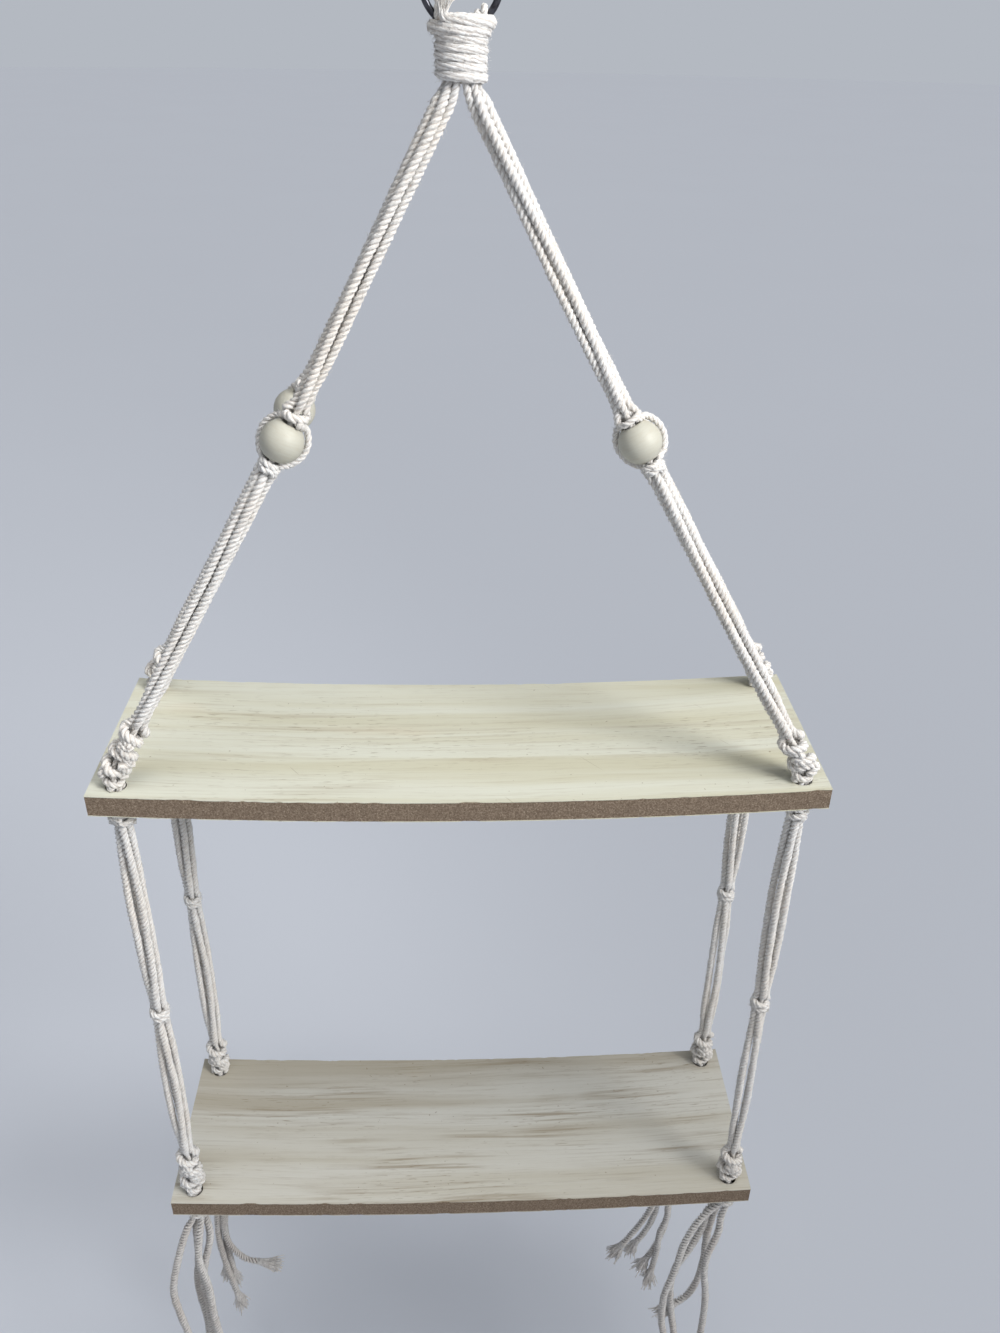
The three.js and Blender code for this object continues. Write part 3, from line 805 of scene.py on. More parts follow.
@dataclass(frozen=True)
class Twist:
    """How a cord is laid up: its plies, and the length that one turn of them takes."""

    plies: int = 3
    turn: float = 9.2 * MM
    steps_per_turn: int = 10
    ply_share: float = 0.6
    rough: float = 0.05
    corner_shares: tuple = (-1.0, -0.78, -0.4, 0.0, 0.4, 0.78)
    uneven: tuple = ((0.35, 23 * MM, 3), (0.2, 8.3 * MM, 5))
    swell: float = 0.035
    swell_waves: tuple = (3.7 * MM, 11 * MM)
    swell_phase: float = 7
    seed_share: float = 1000
    bulge: float = 0.4 * MM

    @property
    def step(self) -> float:
        """The spacing of a cord's rings."""
        return self.turn / self.steps_per_turn

    def section(self) -> tuple[Points, Points, Points]:
        """Works out the outline of plies that press on each other.

        Returns:
            The angle of each corner, its radius as a share of the cord's, and its depth in a groove.
        """
        half = math.pi / self.plies
        seat = 1 - self.ply_share
        ply, share = np.meshgrid(np.arange(self.plies), self.corner_shares, indexing="ij")
        ply, share = ply.ravel(), share.ravel()
        angle = share * half
        reach = seat * np.cos(angle) + np.sqrt(self.ply_share**2 - (seat * np.sin(angle)) ** 2)
        return 2 * half * ply + angle, reach, np.abs(share) ** 3

    def lay_up(self, stock: MeshStock, rows: Points, phase: float = 0.0) -> None:
        """Adds one twisted cord to a piece.

        Args:
            stock: The piece.
            rows: Rows of x, y, z and radius along the cord, evenly spaced.
            phase: The angle of its plies at the start.
        """
        places, radius = rows[:, :3], rows[:, 3]
        along = lengths_along(rows)
        _, first, second = carried_frames(places)
        angles, shares, grooves = self.section()
        turned = phase + angles[None, :] + FULL_TURN * (along / self.turn)[:, None]
        for amount, wave, beat in self.uneven:
            turned = turned + (amount * np.sin(along / wave + beat * phase))[:, None]
        short, long = self.swell_waves
        swell = 1 + self.swell * np.sin(along / short + self.swell_phase * phase) * np.sin(along / long)
        seed = int(self.seed_share * phase)
        fuzzy = 1 + self.rough * np.random.default_rng(seed).normal(size=turned.shape)
        reach = (radius * swell)[:, None] * shares[None, :] * fuzzy
        rings = tubes(places, reach * np.cos(turned), reach * np.sin(turned), first, second)
        length = np.broadcast_to(along[:, None], reach.shape)
        flat = np.stack([reach * np.cos(angles), reach * np.sin(angles), length], axis=-1)
        lay = flat / MM + np.array([0.0, 0.0, self.seed_share * phase])
        stock.add_rings(rings, lay, np.broadcast_to(grooves, reach.shape), self.bulge)


# Sizes that the cords and their knots share


@dataclass(frozen=True)
class CordSizes:
    """The shelf's own sizes, as its frame has them."""

    cord_radius: float = 2.3 * MM
    loose_radius: float = 2.75 * MM
    squeezed_radius: float = 1.5 * MM
    spread: float = 3.04 * MM
    gather_pitch: float = 3.2 * MM
    hole_x: float = 186 * MM
    hole_y: float = 50.5 * MM
    leg_top: float = -56.47 * MM
    leg_top_bend: float = 4 * MM
    hole_bend: float = 9 * MM
    bend_cut: float = 3.5 * MM
    open_length: float = 30 * MM
    bead_place_share: float = 0.458
    back_right_bead_drop: float = 20 * MM
    bead_radius: float = 11 * MM
    bore_radius: float = 4.5 * MM
    knot_half_height: float = 5 * MM
    lower_knot_place_share: float = 0.46
    board_end_dip: float = 0.83 * MM
    upper_drop: float = 386 * MM
    lower_drop: float = 731 * MM
    upper_stop: float = -405.56 * MM
    lower_stop: float = -750.56 * MM
    lower_leg_top: float = -411.06 * MM
    lower_leg_foot: float = -731.33 * MM
    tassel_top: float = -756.06 * MM


SIZES = CordSizes()


@dataclass(frozen=True)
class Mark:
    """A point of a cord, told by its place along a leg and its offset from the leg's centre line."""

    along: float
    wide: float
    deep: float
    radius: float


class LegLine:
    """A leg's centre line and the axes across it: wide to the right, deep to the back."""

    bend_points = 9
    step = 0.5 * MM

    def __init__(self, corners: list[Vector], cut: float) -> None:
        """Rounds off the line's corners and measures it.

        Args:
            corners: The line's corner points, from the top down.
            cut: The length rounded off on each side of a corner.
        """
        places = [corners[0]]
        for before, corner, after in zip(corners, corners[1:], corners[2:]):
            start = corner + (before - corner).normalized() * cut
            end = corner + (after - corner).normalized() * cut
            for t in np.linspace(0, 1, self.bend_points):
                places.append(start.lerp(corner, t).lerp(corner.lerp(end, t), t))
        places.append(corners[-1])
        self.places = even(as_array(places), self.step)
        self.runs = lengths_along(self.places)
        self.length = float(self.runs[-1])
        self.tangents = unit(np.gradient(self.places, axis=0))
        self.deep = unit(np.array([0.0, 1.0, 0.0]) - self.tangents * self.tangents[:, 1:2])
        wide = np.cross(self.deep, self.tangents)
        self.wide = wide * np.sign(wide[:, :1])

    def look_up(self, table: Points, along: float) -> Points:
        """Reads a table of rows at a length along the line."""
        return np.array([np.interp(along, self.runs, table[:, k]) for k in range(3)])

    def row(self, mark: Mark) -> list[float]:
        """Turns a mark into a place and a radius.

        Args:
            mark: The mark.

        Returns:
            The row: x, y, z and radius.
        """
        over = min(mark.along, 0.0) + max(mark.along - self.length, 0.0)
        place = self.look_up(self.places, mark.along)
        for reach, axis in ((over, self.tangents), (mark.wide, self.wide), (mark.deep, self.deep)):
            place = place + reach * self.look_up(axis, mark.along)
        return [*place, mark.radius]

    def rows(self, marks: list[Mark], step: float) -> Points:
        """Runs a cord smoothly through marks."""
        return smooth_route(np.array([self.row(mark) for mark in marks]), step)


@dataclass(frozen=True)
class KnotSize:
    """How far a knot's cords lie from its middle: on the fillers, and over each other."""

    cord: float = 2.1 * MM
    filler: float = 1.6 * MM
    press: float = 0.58
    slack: float = 0.0

    @property
    def side(self) -> float:
        """A cord's offset beside the fillers."""
        return self.filler + 0.92 * self.cord + self.slack

    @property
    def front(self) -> float:
        """A cord's offset in front of the fillers."""
        return 2 * self.filler + 0.85 * self.cord

    @property
    def over(self) -> float:
        """How much further out a cord lies that crosses another."""
        return 2 * self.cord * self.press

    @property
    def crossing(self) -> list[tuple[float, float, float]]:
        """One cord's way through a half knot, from the left in front to the right: height share, x, y.

        Returns:
            The rows from its start to its end.
        """
        side, front, over = self.side, self.front, self.over
        return [
            (0.05, -(side + 0.75 * over), 0.05 * front),
            (0.3, -(side + 0.55 * over), -0.5 * front),
            (0.42, -0.6 * side, -front),
            (0.6, 0.45 * side, -front),
            (0.62, side, -0.3 * front),
            (0.66, 0.97 * side, 0.45 * front + 0.3 * over),
            (0.82, 0.85 * side, 0.75 * front + 0.75 * over),
            (0.98, side + 0.6 * over, 0.35 * front),
        ]


class Knotting:
    """Ties two cords round a pair of fillers, one half knot after another, down a leg."""

    def __init__(self, size: KnotSize) -> None:
        """Starts with the left cord's and the right cord's marks empty.

        Args:
            size: The knots' sizes.
        """
        self.size = size
        self.cords: list[list[Mark]] = [[], []]
        self.left = 0

    def half_knot(
        self, start: float, height: float, hand: int, turn: float = 0.0, turning: float = 0.0
    ) -> None:
        """Ties one half knot, after which the cords have changed sides.

        Args:
            start: Where it starts along the leg.
            height: Its height.
            hand: 1 if the left cord crosses in front, -1 if the right one does.
            turn: The angle that the knot starts at about the leg.
            turning: The angle that it turns by.
        """
        in_front = self.left if hand > 0 else 1 - self.left
        for cord, flip in ((in_front, 1), (1 - in_front, -1)):
            for share, x, y in self.size.crossing:
                x, y = x * hand * flip, y * flip
                angle = turn + turning * share
                wide = x * math.cos(angle) - y * math.sin(angle)
                deep = x * math.sin(angle) + y * math.cos(angle)
                self.cords[cord].append(Mark(start + share * height, wide, deep, self.size.cord))
        self.left = 1 - self.left

    def square_knot(self, middle: float, half_height: float, turn: float = 0.0) -> None:
        """Ties two half knots of opposite hand."""
        self.half_knot(middle - half_height, half_height, 1, turn)
        self.half_knot(middle, half_height, -1, turn)

    def straight(
        self,
        along: float,
        offset: float,
        radius: float,
        turn: float = 0.0,
        wide: float = 0.0,
        deep: float = 0.0,
    ) -> None:
        """Lays both cords straight beside the fillers at one place along the leg.

        Args:
            along: The place.
            offset: How far each cord lies from their middle.
            radius: Their radius.
            turn: The angle that they lie at about the leg.
            wide: How far their middle lies to the right of the leg's.
            deep: How far it lies behind.
        """
        for cord in (0, 1):
            x = -offset if cord == self.left else offset
            mark = Mark(along, x * math.cos(turn) + wide, x * math.sin(turn) + deep, radius)
            self.cords[cord].append(mark)


def seats_in_gather() -> list[tuple[float, float]]:
    """Works out where a quadrant's four strands lie inside the gathering wrap.

    Returns:
        Their places as first-quadrant offsets: outer knotting, outer filler, inner knotting, inner filler.
    """
    places = []
    for count, index in ((12, 0), (12, 1), (12, 2), (4, 0)):
        angle = FULL_TURN * (index + 0.5) / count
        radius = SIZES.gather_pitch / 2 / math.sin(math.pi / count)
        places.append((radius * math.cos(angle), radius * math.sin(angle)))
    return places


# Loose ends: each strand's route below its stop knot, in millimetres from the knot's middle line
TASSEL_ROUTES = {
    Corner.FRONT_LEFT: [
        [(-2.3, -2.3, 0), (-9, -4, -14), (-19, -6, -46), (-27, -7, -84), (-26, -7, -112),
         (-22, -7, -152), (-25, -6, -205), (-21, -6, -250)],
        [(2.3, -2.3, 0), (-1, -5.5, -20), (-4, -7, -45), (-1, -7, -80), (-1, -7, -119), (1, -7, -153),
         (3, -6, -205), (0, -6, -262)],
        [(2.3, 2.3, 0), (4, 2, -30), (-3, 1, -62), (-7, 1, -86), (-6, 1, -110), (-8, 0, -153),
         (-6, 0, -205), (-9, 1, -255)],
        [(-2.3, 2.3, 0), (-6, 5, -25), (-9, 8, -60), (-14, 8, -100), (-12, 7, -150), (-16, 8, -200),
         (-13, 7, -240)],
    ],
    Corner.FRONT_RIGHT: [
        [(-2.3, -2.3, 0), (-15, -4, -16), (-24, -5, -42), (-29, -6, -77), (-34, -6, -108),
         (-33, -6, -142), (-27, -6, -180), (-29, -6, -215), (-26, -6, -258)],
        [(-2.3, 2.3, 0), (-9, 2, -16), (-11, 1.5, -34), (-18, 1, -60), (-26.5, 1, -85), (-28, 1, -108),
         (-24, 0.5, -145), (-19, 0, -180), (-21, 1, -220), (-18, 1, -268)],
        [(2.3, -2.3, 0), (-1, -4, -16), (-1, -5, -29), (-6, -5, -60), (-6.5, -5, -78), (-2, -5, -112),
         (0, -4, -152), (-1, -4, -190), (-4, -4, -250)],
        [(2.3, 2.3, 0), (-2, 5, -16), (-5, 6, -50), (-4.5, 6, -84), (-7, 6, -112), (-13, 6, -130),
         (-21, 6, -140)],
    ],
    Corner.BACK_LEFT: [
        [(-2.3, -2.3, 0), (-5, -4, -30), (-13, -5, -80), (-20, -5, -140), (-23, -5, -178),
         (-21, -5, -218), (-15.5, -5, -262)],
        [(2.3, -2.3, 0), (0, -5, -30), (-8, -6, -80), (-15, -6, -140), (-17, -6, -165),
         (-13, -6, -193), (-2, -6, -210), (9, -6, -214)],
        [(2.3, 2.3, 0), (0.5, 1, -30), (-7.5, 0, -80), (-14.5, -0.5, -140), (-18.5, -0.5, -190),
         (-17, 0, -236)],
        [(-2.3, 2.3, 0), (-5, 2, -30), (-13, 1, -80), (-20, 0.5, -140), (-24.5, 0.5, -185),
         (-23, 1, -228)],
    ],
    Corner.BACK_RIGHT: [
        [(-2.3, -2.3, 0), (-5, -5, -40), (-12, -6, -90), (-21, -6, -138), (-29, -6, -165),
         (-37, -6, -184), (-46, -6, -203)],
        [(2.3, -2.3, 0), (2, -5, -40), (-4, -6, -90), (-10.5, -6, -140), (-10, -6, -166),
         (-14, -6, -186), (-14.5, -6, -212), (-17, -6, -242)],
        [(2.3, 2.3, 0), (3, 1, -40), (-3, 0, -90), (-9, -0.5, -140), (-8, -0.5, -175),
         (-15, -0.5, -215), (-21, -0.5, -232)],
        [(-2.3, 2.3, 0), (-3.5, 1, -40), (-11, 0, -90), (-17.5, -0.5, -138), (-20.5, -1, -172),
         (-26, -1, -192), (-32, -1, -206)],
    ],
}


def dress(
    piece: bpy.types.Object, material: Material, slot: str, body: str, *nodes: str
) -> bpy.types.Object:
    """Gives a piece its material and its body, and hides the nodes it stands for.

    Args:
        piece: The piece.
        material: Its finish.
        slot: The record's material slot; not used.
        body: The body that it rides on.
        *nodes: The nodes that it replaces.

    Returns:
        The piece.
    """
    if not piece.data.materials:
        piece.data.materials.append(material)
    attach(piece, body)
    if nodes:
        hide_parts(*nodes)
    LOG.info("%s: %d faces, on %s", piece.name, len(piece.data.polygons), body)
    return piece


@dataclass
class Fray:
    """A cut end whose yarns have come apart."""

    yarns: int = 42
    yarn_radius: float = 0.6 * MM
    thickness: tuple = (0.8, 1.15)
    root: float = 2.5 * MM
    length: tuple = (7 * MM, 14 * MM)
    splay: float = 0.35
    curl: float = 1.1 * MM
    curl_turn: float = 3.2
    side_turn: float = 1.6
    splay_power: float = 1.6
    fall: float = 0.1
    sides: int = 5
    steps: int = 9
    bulge: float = 0.1 * MM

    def add(
        self, stock: MeshStock, end: Points, way: Points, radius: float, rng: Draws
    ) -> None:
        """Adds the loose yarns of one end.

        Args:
            stock: The piece.
            end: The middle of the cord's end.
            way: The direction in which the cord ends.
            radius: The cord's radius there.
            rng: The source of its random draws.
        """
        way = unit(way)
        first = unit(np.cross(way, (0.0, 1.0, 0.0) if abs(way[1]) < 0.9 else (1.0, 0.0, 0.0)))
        second = np.cross(way, first)
        t = np.linspace(0, 1, self.steps)[:, None]
        for _ in range(self.yarns):
            angle, share = rng.uniform(0, FULL_TURN), math.sqrt(rng.uniform(0.02, 1))
            out = math.cos(angle) * first + math.sin(angle) * second
            aside = angle + self.side_turn
            side = math.cos(aside) * first + math.sin(aside) * second
            length = rng.uniform(*self.length)
            splay = rng.uniform(0.2, 1) * self.splay
            curl = rng.normal() * self.curl
            wave = rng.uniform(0, 6)
            line = end - way * self.root + out * share * (radius - self.yarn_radius)
            line = line + way * (length + self.root) * t
            line = line + out * splay * length * share * t**self.splay_power
            line = line + side * curl * (np.sin(self.curl_turn * t + wave) - math.sin(wave)) * t
            line[:, 2] -= (self.fall * length * t[:, 0] ** 2) * (1 - abs(way[2]))
            self.add_yarn(stock, line, rng.uniform(*self.thickness) * self.yarn_radius)

    def add_yarn(self, stock: MeshStock, line: Points, radius: float) -> None:
        """Adds one yarn that thins towards its tip.

        Args:
            stock: The piece.
            line: Its middle line.
            radius: Its radius at the root.
        """
        _, first, second = carried_frames(line)
        turns = np.arange(self.sides) * FULL_TURN / self.sides
        size = radius * np.linspace(1.0, stock.tip_share, len(line))
        x, y = size[:, None] * np.cos(turns), size[:, None] * np.sin(turns)
        rings = tubes(line, x, y, first, second)
        along = np.broadcast_to(lengths_along(line)[:, None], x.shape)
        lay = np.stack([x, y, along], axis=-1) / MM + rings[0, 0] / MM
        stock.add_rings(rings, lay, np.full(x.shape, stock.loose_groove), self.bulge)


@dataclass(frozen=True)
class Fuzz:
    """Fine loose fibres that stand off a cord."""

    radius: float = 0.08 * MM
    rise: tuple = (0.3 * MM, 1.5 * MM)
    run: tuple = (0.5 * MM, 3 * MM)
    root: float = 0.9
    lean: float = 0.5
    run_power: float = 0.7
    steps: int = 4

    def add(self, stock: MeshStock, rows: Points, count: int, rng: Draws) -> None:
        """Adds the fibres.

        Args:
            stock: The piece.
            rows: Rows of x, y, z and radius along the cord.
            count: How many fibres there are.
            rng: The source of the random draws.
        """
        tangents, first, second = carried_frames(rows[:, :3])
        at = rng.integers(2, len(rows) - 2, count)
        turn = rng.uniform(0, FULL_TURN, (count, 1))
        out = np.cos(turn) * first[at] + np.sin(turn) * second[at]
        side = tangents[at] * rng.choice((-1, 1), (count, 1))
        side = side + self.lean * rng.normal(size=(count, 1)) * np.cross(tangents[at], out)
        t = np.linspace(0, 1, self.steps)[None, :, None]
        reach = self.root * rows[at, 3, None, None] + rng.uniform(*self.rise, (count, 1, 1)) * t
        drift = rng.uniform(*self.run, (count, 1, 1)) * t**self.run_power
        stock.add_hairs(rows[at, None, :3] + out[:, None] * reach + side[:, None] * drift, self.radius)


@dataclass
class Tassel:
    """The four strand ends under one corner of the lower shelf."""

    corner: Corner
    twist: Twist = field(default_factory=lambda: Twist(ply_share=0.5))
    fray: Fray = field(default_factory=Fray)
    brush: Fray = field(
        default_factory=lambda: Fray(
            yarns=110, yarn_radius=0.75 * MM, length=(9 * MM, 20 * MM), splay=0.42
        )
    )
    fuzz: Fuzz = field(default_factory=Fuzz)
    short_end: float = -0.92
    neck_share: int = 12
    neck_size: float = 0.82
    diameter: float = 4 * MM
    into_knot: float = 3 * MM
    path_points: int = 30

    def build(self, cotton: Material, rng: Draws) -> None:
        """Makes the four strands and their frayed ends.

        Args:
            cotton: The cords' finish.
            rng: The source of their random draws.
        """
        label = self.corner.label
        top = np.array([self.corner.side * SIZES.hole_x, self.corner.row * SIZES.hole_y, SIZES.tassel_top])
        for number, offsets in enumerate(TASSEL_ROUTES[self.corner], start=1):
            points = top + np.array(offsets, float) * MM
            route = smooth_route(np.vstack([points[0] + [0, 0, self.into_knot], points]), self.twist.step)
            rows = np.column_stack([route, np.full(len(route), SIZES.loose_radius)])
            neck = len(route) // self.neck_share
            rows[:neck, 3] *= np.linspace(self.neck_size, 1, neck)
            stock = MeshStock()
            self.twist.lay_up(stock, rows, rng.uniform(0, FULL_TURN))
            strand = stock.make(f"{label}_tassel_cord_{number}")
            dress(strand, cotton, "cotton", "lower_tier", f"{label}_tassel_strand_{number}")
            ends = MeshStock()
            brushed = self.corner.row > 0 or route[-1][2] > self.short_end
            fray = self.brush if brushed else self.fray
            fray.add(ends, route[-1], route[-1] - route[-4], SIZES.loose_radius, rng)
            self.fuzz.add(ends, rows, len(rows), rng)
            frayed = dress(ends.make(f"{label}_tassel_fray_{number}"), cotton, "cotton", "lower_tier")


@dataclass
class Ring:
    """The welded steel ring that hangs on a hook."""

    bore: float = 30 * MM
    wire: float = 3 * MM
    segments: int = 96
    sides: int = 20
    weld_rise: float = 0.25 * MM
    weld_width: float = 1.3 * MM

    def build(self, steel: Material) -> None:
        """Makes the ring, with a low weld bead at its bottom.

        Args:
            steel: Its finish.
        """
        radius, centre = (self.bore + self.wire) / 2, -self.bore / 2
        places = []
        for i in range(self.segments):
            turn = FULL_TURN * i / self.segments
            away = (turn + math.pi) % FULL_TURN - math.pi
            rise = self.weld_rise * math.exp(-((away * radius / self.weld_width) ** 2))
            thick = self.wire / 2 + rise
            for k in range(self.sides):
                angle = FULL_TURN * k / self.sides
                reach = radius + thick * math.cos(angle)
                x, z = reach * math.sin(turn), centre - reach * math.cos(turn)
                places.append((x, thick * math.sin(angle), z))
        faces = grid_faces(self.segments, self.sides, closed=True).tolist()
        ring = put("steel_ring", smooth_mesh("steel_ring", places, faces))
        dress(ring, steel, "ring_steel", "ring", "hanging_ring")


@dataclass
class Gather:
    """The cords folded over the ring, and the cord that is wound round them under it."""

    ring_radius: float = 16.5 * MM
    ring_centre: float = -15 * MM
    loop_pitch: float = 2.8 * MM
    loop_radius: float = 1.55 * MM
    loop_points: int = 7
    over_wire: float = 3.35 * MM
    slack: tuple = (0.0, 1.4 * MM, 2.4 * MM, 0.0)
    handover: float = -49 * MM
    gather_top: float = -37.4 * MM
    wrap_top: float = -28.5 * MM
    wrap_turns: float = 6.56
    wrap_steps: int = 28
    wrap_pitch: float = 3.45 * MM
    wrap_radius: float = 9.5 * MM
    wrap_flare: float = 12.4 * MM
    wrap_flare_turns: tuple = (0.5, 1.7)
    wrap_unevenness: float = 0.09 * MM
    wrap_radii: tuple = (2.15 * MM, 2.8 * MM, 2.8 * MM, 2.15 * MM)
    wrap_radii_at: tuple = (4 * MM, 10 * MM, 84 * MM, 130 * MM)
    wrap_swell: float = 0.06 * MM
    wrap_swell_waves: tuple = (2.1 * MM, 5.3 * MM)
    wrap_fibres: int = 1600
    tail_bend: float = 3 * MM
    tail_angles: tuple = (0.5, 1.0, math.pi / 2)
    tail: float = 0.6 * MM
    tail_way: tuple = (0.15, 0.0, 1.0)
    low_tail: tuple = ((-4, -1.5, 0.5), (-6.5, -4.5, 2), (-6, -6.5, 5))
    twist: Twist = field(default_factory=lambda: Twist(turn=9 * MM))
    soft_twist: Twist = field(
        default_factory=lambda: Twist(
            plies=7,
            turn=75 * MM,
            steps_per_turn=54,
            ply_share=0.36,
            corner_shares=(-1.0, -0.5, 0.0, 0.5),
        )
    )
    fray: Fray = field(
        default_factory=lambda: Fray(
            yarns=70, length=(4 * MM, 11 * MM), splay=1.1, yarn_radius=0.24 * MM, curl=2 * MM
        )
    )
    fuzz: Fuzz = field(default_factory=Fuzz)

    def build_loops(self, cotton: Material, rng: Draws) -> None:
        """Makes the eight cords that pass over the wire, from left to right.

        Args:
            cotton: The cords' finish.
            rng: The source of its random draws.
        """
        seats = seats_in_gather()
        for side in (-1, 1):
            for index, seat in enumerate(seats):
                number = index + 1 if side < 0 else 2 * len(seats) - index
                x = side * (len(seats) - index - 0.5) * self.loop_pitch
                outside = math.sqrt(self.ring_radius**2 - x**2)
                rise = outside - math.sqrt((self.ring_radius - self.over_wire) ** 2 - x**2)
                wire = self.ring_centre - outside
                span = self.over_wire + self.slack[index]
                points = [(side * seat[0], -seat[1], z) for z in (self.handover, self.gather_top)]
                for angle in np.linspace(0, math.pi, self.loop_points):
                    points.append((x, -span * math.cos(angle), wire + rise * math.sin(angle)))
                points += [(side * seat[0], seat[1], z) for z in (self.gather_top, self.handover)]
                route = smooth_route(as_array(points), self.twist.step)
                rows = np.column_stack([route, np.full(len(route), self.loop_radius)])
                stock = MeshStock()
                self.twist.lay_up(stock, rows, rng.uniform(0, FULL_TURN))
                piece = stock.make(f"ring_cord_{number}")
                dress(piece, cotton, "cotton", "hanger", f"cord_loop_{number}")

    def wound_turns(self) -> Points:
        """Gives the wound cord's middle line, wider along X where it starts.

        Returns:
            Its points from the top down.
        """
        start = math.pi / 2 - FULL_TURN * self.wrap_turns
        flare_start, flare_end = self.wrap_flare_turns
        points = []
        for i in range(int(self.wrap_turns * self.wrap_steps) + 1):
            turn = i / self.wrap_steps
            share = min(max(turn - flare_start, 0) / (flare_end - flare_start), 1)
            half_width = self.wrap_flare + (self.wrap_radius - self.wrap_flare) * share
            angle = start + FULL_TURN * turn
            x, y = half_width * math.cos(angle), self.wrap_radius * math.sin(angle)
            points.append((x, y, self.wrap_top - turn * self.wrap_pitch))
        return as_array(points)

    def build_wrap(self, cotton: Material, rng: Draws) -> None:
        """Makes the wound cord with its two tails.

        Args:
            cotton: The cords' finish.
            rng: The source of its random draws.
        """
        turns = self.wound_turns()
        turns += rng.normal(0, self.wrap_unevenness, turns.shape)
        top = self.tail_points(turns[0], turns[1])[::-1]
        bottom = turns[-1] + np.array(self.low_tail) * MM
        route = smooth_route(np.vstack([top, turns, bottom]), self.soft_twist.step)
        along = lengths_along(route)
        rows = np.column_stack([route, np.interp(along, self.wrap_radii_at, self.wrap_radii)])
        short, long = self.wrap_swell_waves
        rows[:, 3] += self.wrap_swell * np.sin(along / short) * np.sin(along / long)
        stock = MeshStock()
        self.soft_twist.lay_up(stock, rows)
        self.fray.add(stock, route[0], np.array(self.tail_way), self.wrap_radii[0], rng)
        self.fuzz.add(stock, rows, self.wrap_fibres, rng)
        dress(stock.make("wrapping_cord"), cotton, "cotton", "hanger", "gathering_wrap")

    def tail_points(self, end: Points, before: Points) -> Points:
        """Bends the winding's first end up into a short straight tail.

        Args:
            end: The winding's first point.
            before: Its second point.

        Returns:
            The tail's points, from the winding on.
        """
        along = end - before
        along[2] = 0
        along = unit(along) * self.tail_bend
        rise = np.array([0, 0, self.tail_bend])
        bend = [end + along * math.sin(a) + rise * (1 - math.cos(a)) for a in self.tail_angles]
        return np.array([*bend, bend[-1] + np.array([0, 0, self.tail])])


@dataclass(frozen=True)
class LegSizes:
    """How the cords of a leg are knotted, and how they lead from one knot to the next."""

    square: KnotSize = KnotSize(cord=1.8 * MM, filler=1.6 * MM, press=0.4)
    run: KnotSize = KnotSize(cord=2.5 * MM, filler=1.7 * MM, press=0.42)
    neck: KnotSize = KnotSize(cord=1.9 * MM, filler=1.5 * MM, press=0.45)
    stop: KnotSize = KnotSize(cord=1.9 * MM, filler=2.1 * MM)
    left_half_knot: KnotSize = KnotSize(cord=2.3 * MM, press=0.4)
    right_half_knot: KnotSize = KnotSize(cord=1.7 * MM, filler=1.4 * MM, press=0.3, slack=1.7 * MM)
    right_half_knot_height: float = 1.2
    knot_half: float = 2.6 * MM
    knot_offset: float = 13.6 * MM
    middle_knot_half: float = 3.6 * MM
    run_knot: float = 10.5 * MM
    neck_knot: float = 6.5 * MM
    turning: float = math.radians(55)
    foot_below_bend: float = 8.4 * MM
    foot_over_shelf: float = 1.2 * MM
    cord_gap: float = 3 * MM
    filler_gap: float = 5 * MM
    span_stride: float = 26 * MM
    wander: float = 0.16 * MM
    bow: float = 0.3 * MM
    lower_cord_bow: tuple = (0.5 * MM, 2.4 * MM)
    lower_filler_bow: tuple = (0.5 * MM, 1.8 * MM)
    upper_sway: tuple = (0.5, 0.8)
    lower_sway: tuple = (0.4, 0.7)
    into_knot: float = 3 * MM
    into_shelf: float = 1.5 * MM
    into_hole: float = 2.5 * MM
    past_stop: float = 2 * MM
    hole_spread: float = 2.85 * MM
    hole_cord: float = 2.05 * MM
    inward: float = 0.4 * MM
    foot_spread: float = 2.7 * MM
    foot_over: float = 0.3 * MM
    bead_spread: float = 2.1 * MM
    bead_cord: float = 1.95 * MM
    bead_pass: float = 9 * MM
    bead_clearance: float = 0.05 * MM
    bead_shrink: float = 0.3 * MM
    bypass_angles: tuple = (-50, -25, 0, 25, 50)
    front_bypass: tuple = (0.91, -0.1, 0.04, 0.4)
    back_bypass: tuple = (0.5, 0.0, 0.0, 0.87)
    settle_at: tuple = (-7.5, -4, 0, 4, 12, 30, 60, 100, 140)
    settle_by: tuple = (0, 0.8, 2.8, 4.4, 4.4, 3.7, 2.5, 1.0, 0)
    settle_way: tuple = (0.87, 0.24)
    opening: tuple = ((-7.5, 0), (-4, 0.12), (0, 0.45), (5, 0.8), (14, 1))
    opening_growth: float = 1.6
    opening_angles: tuple = (0, math.pi / 2, math.pi, -math.pi / 2)


LEG = LegSizes()


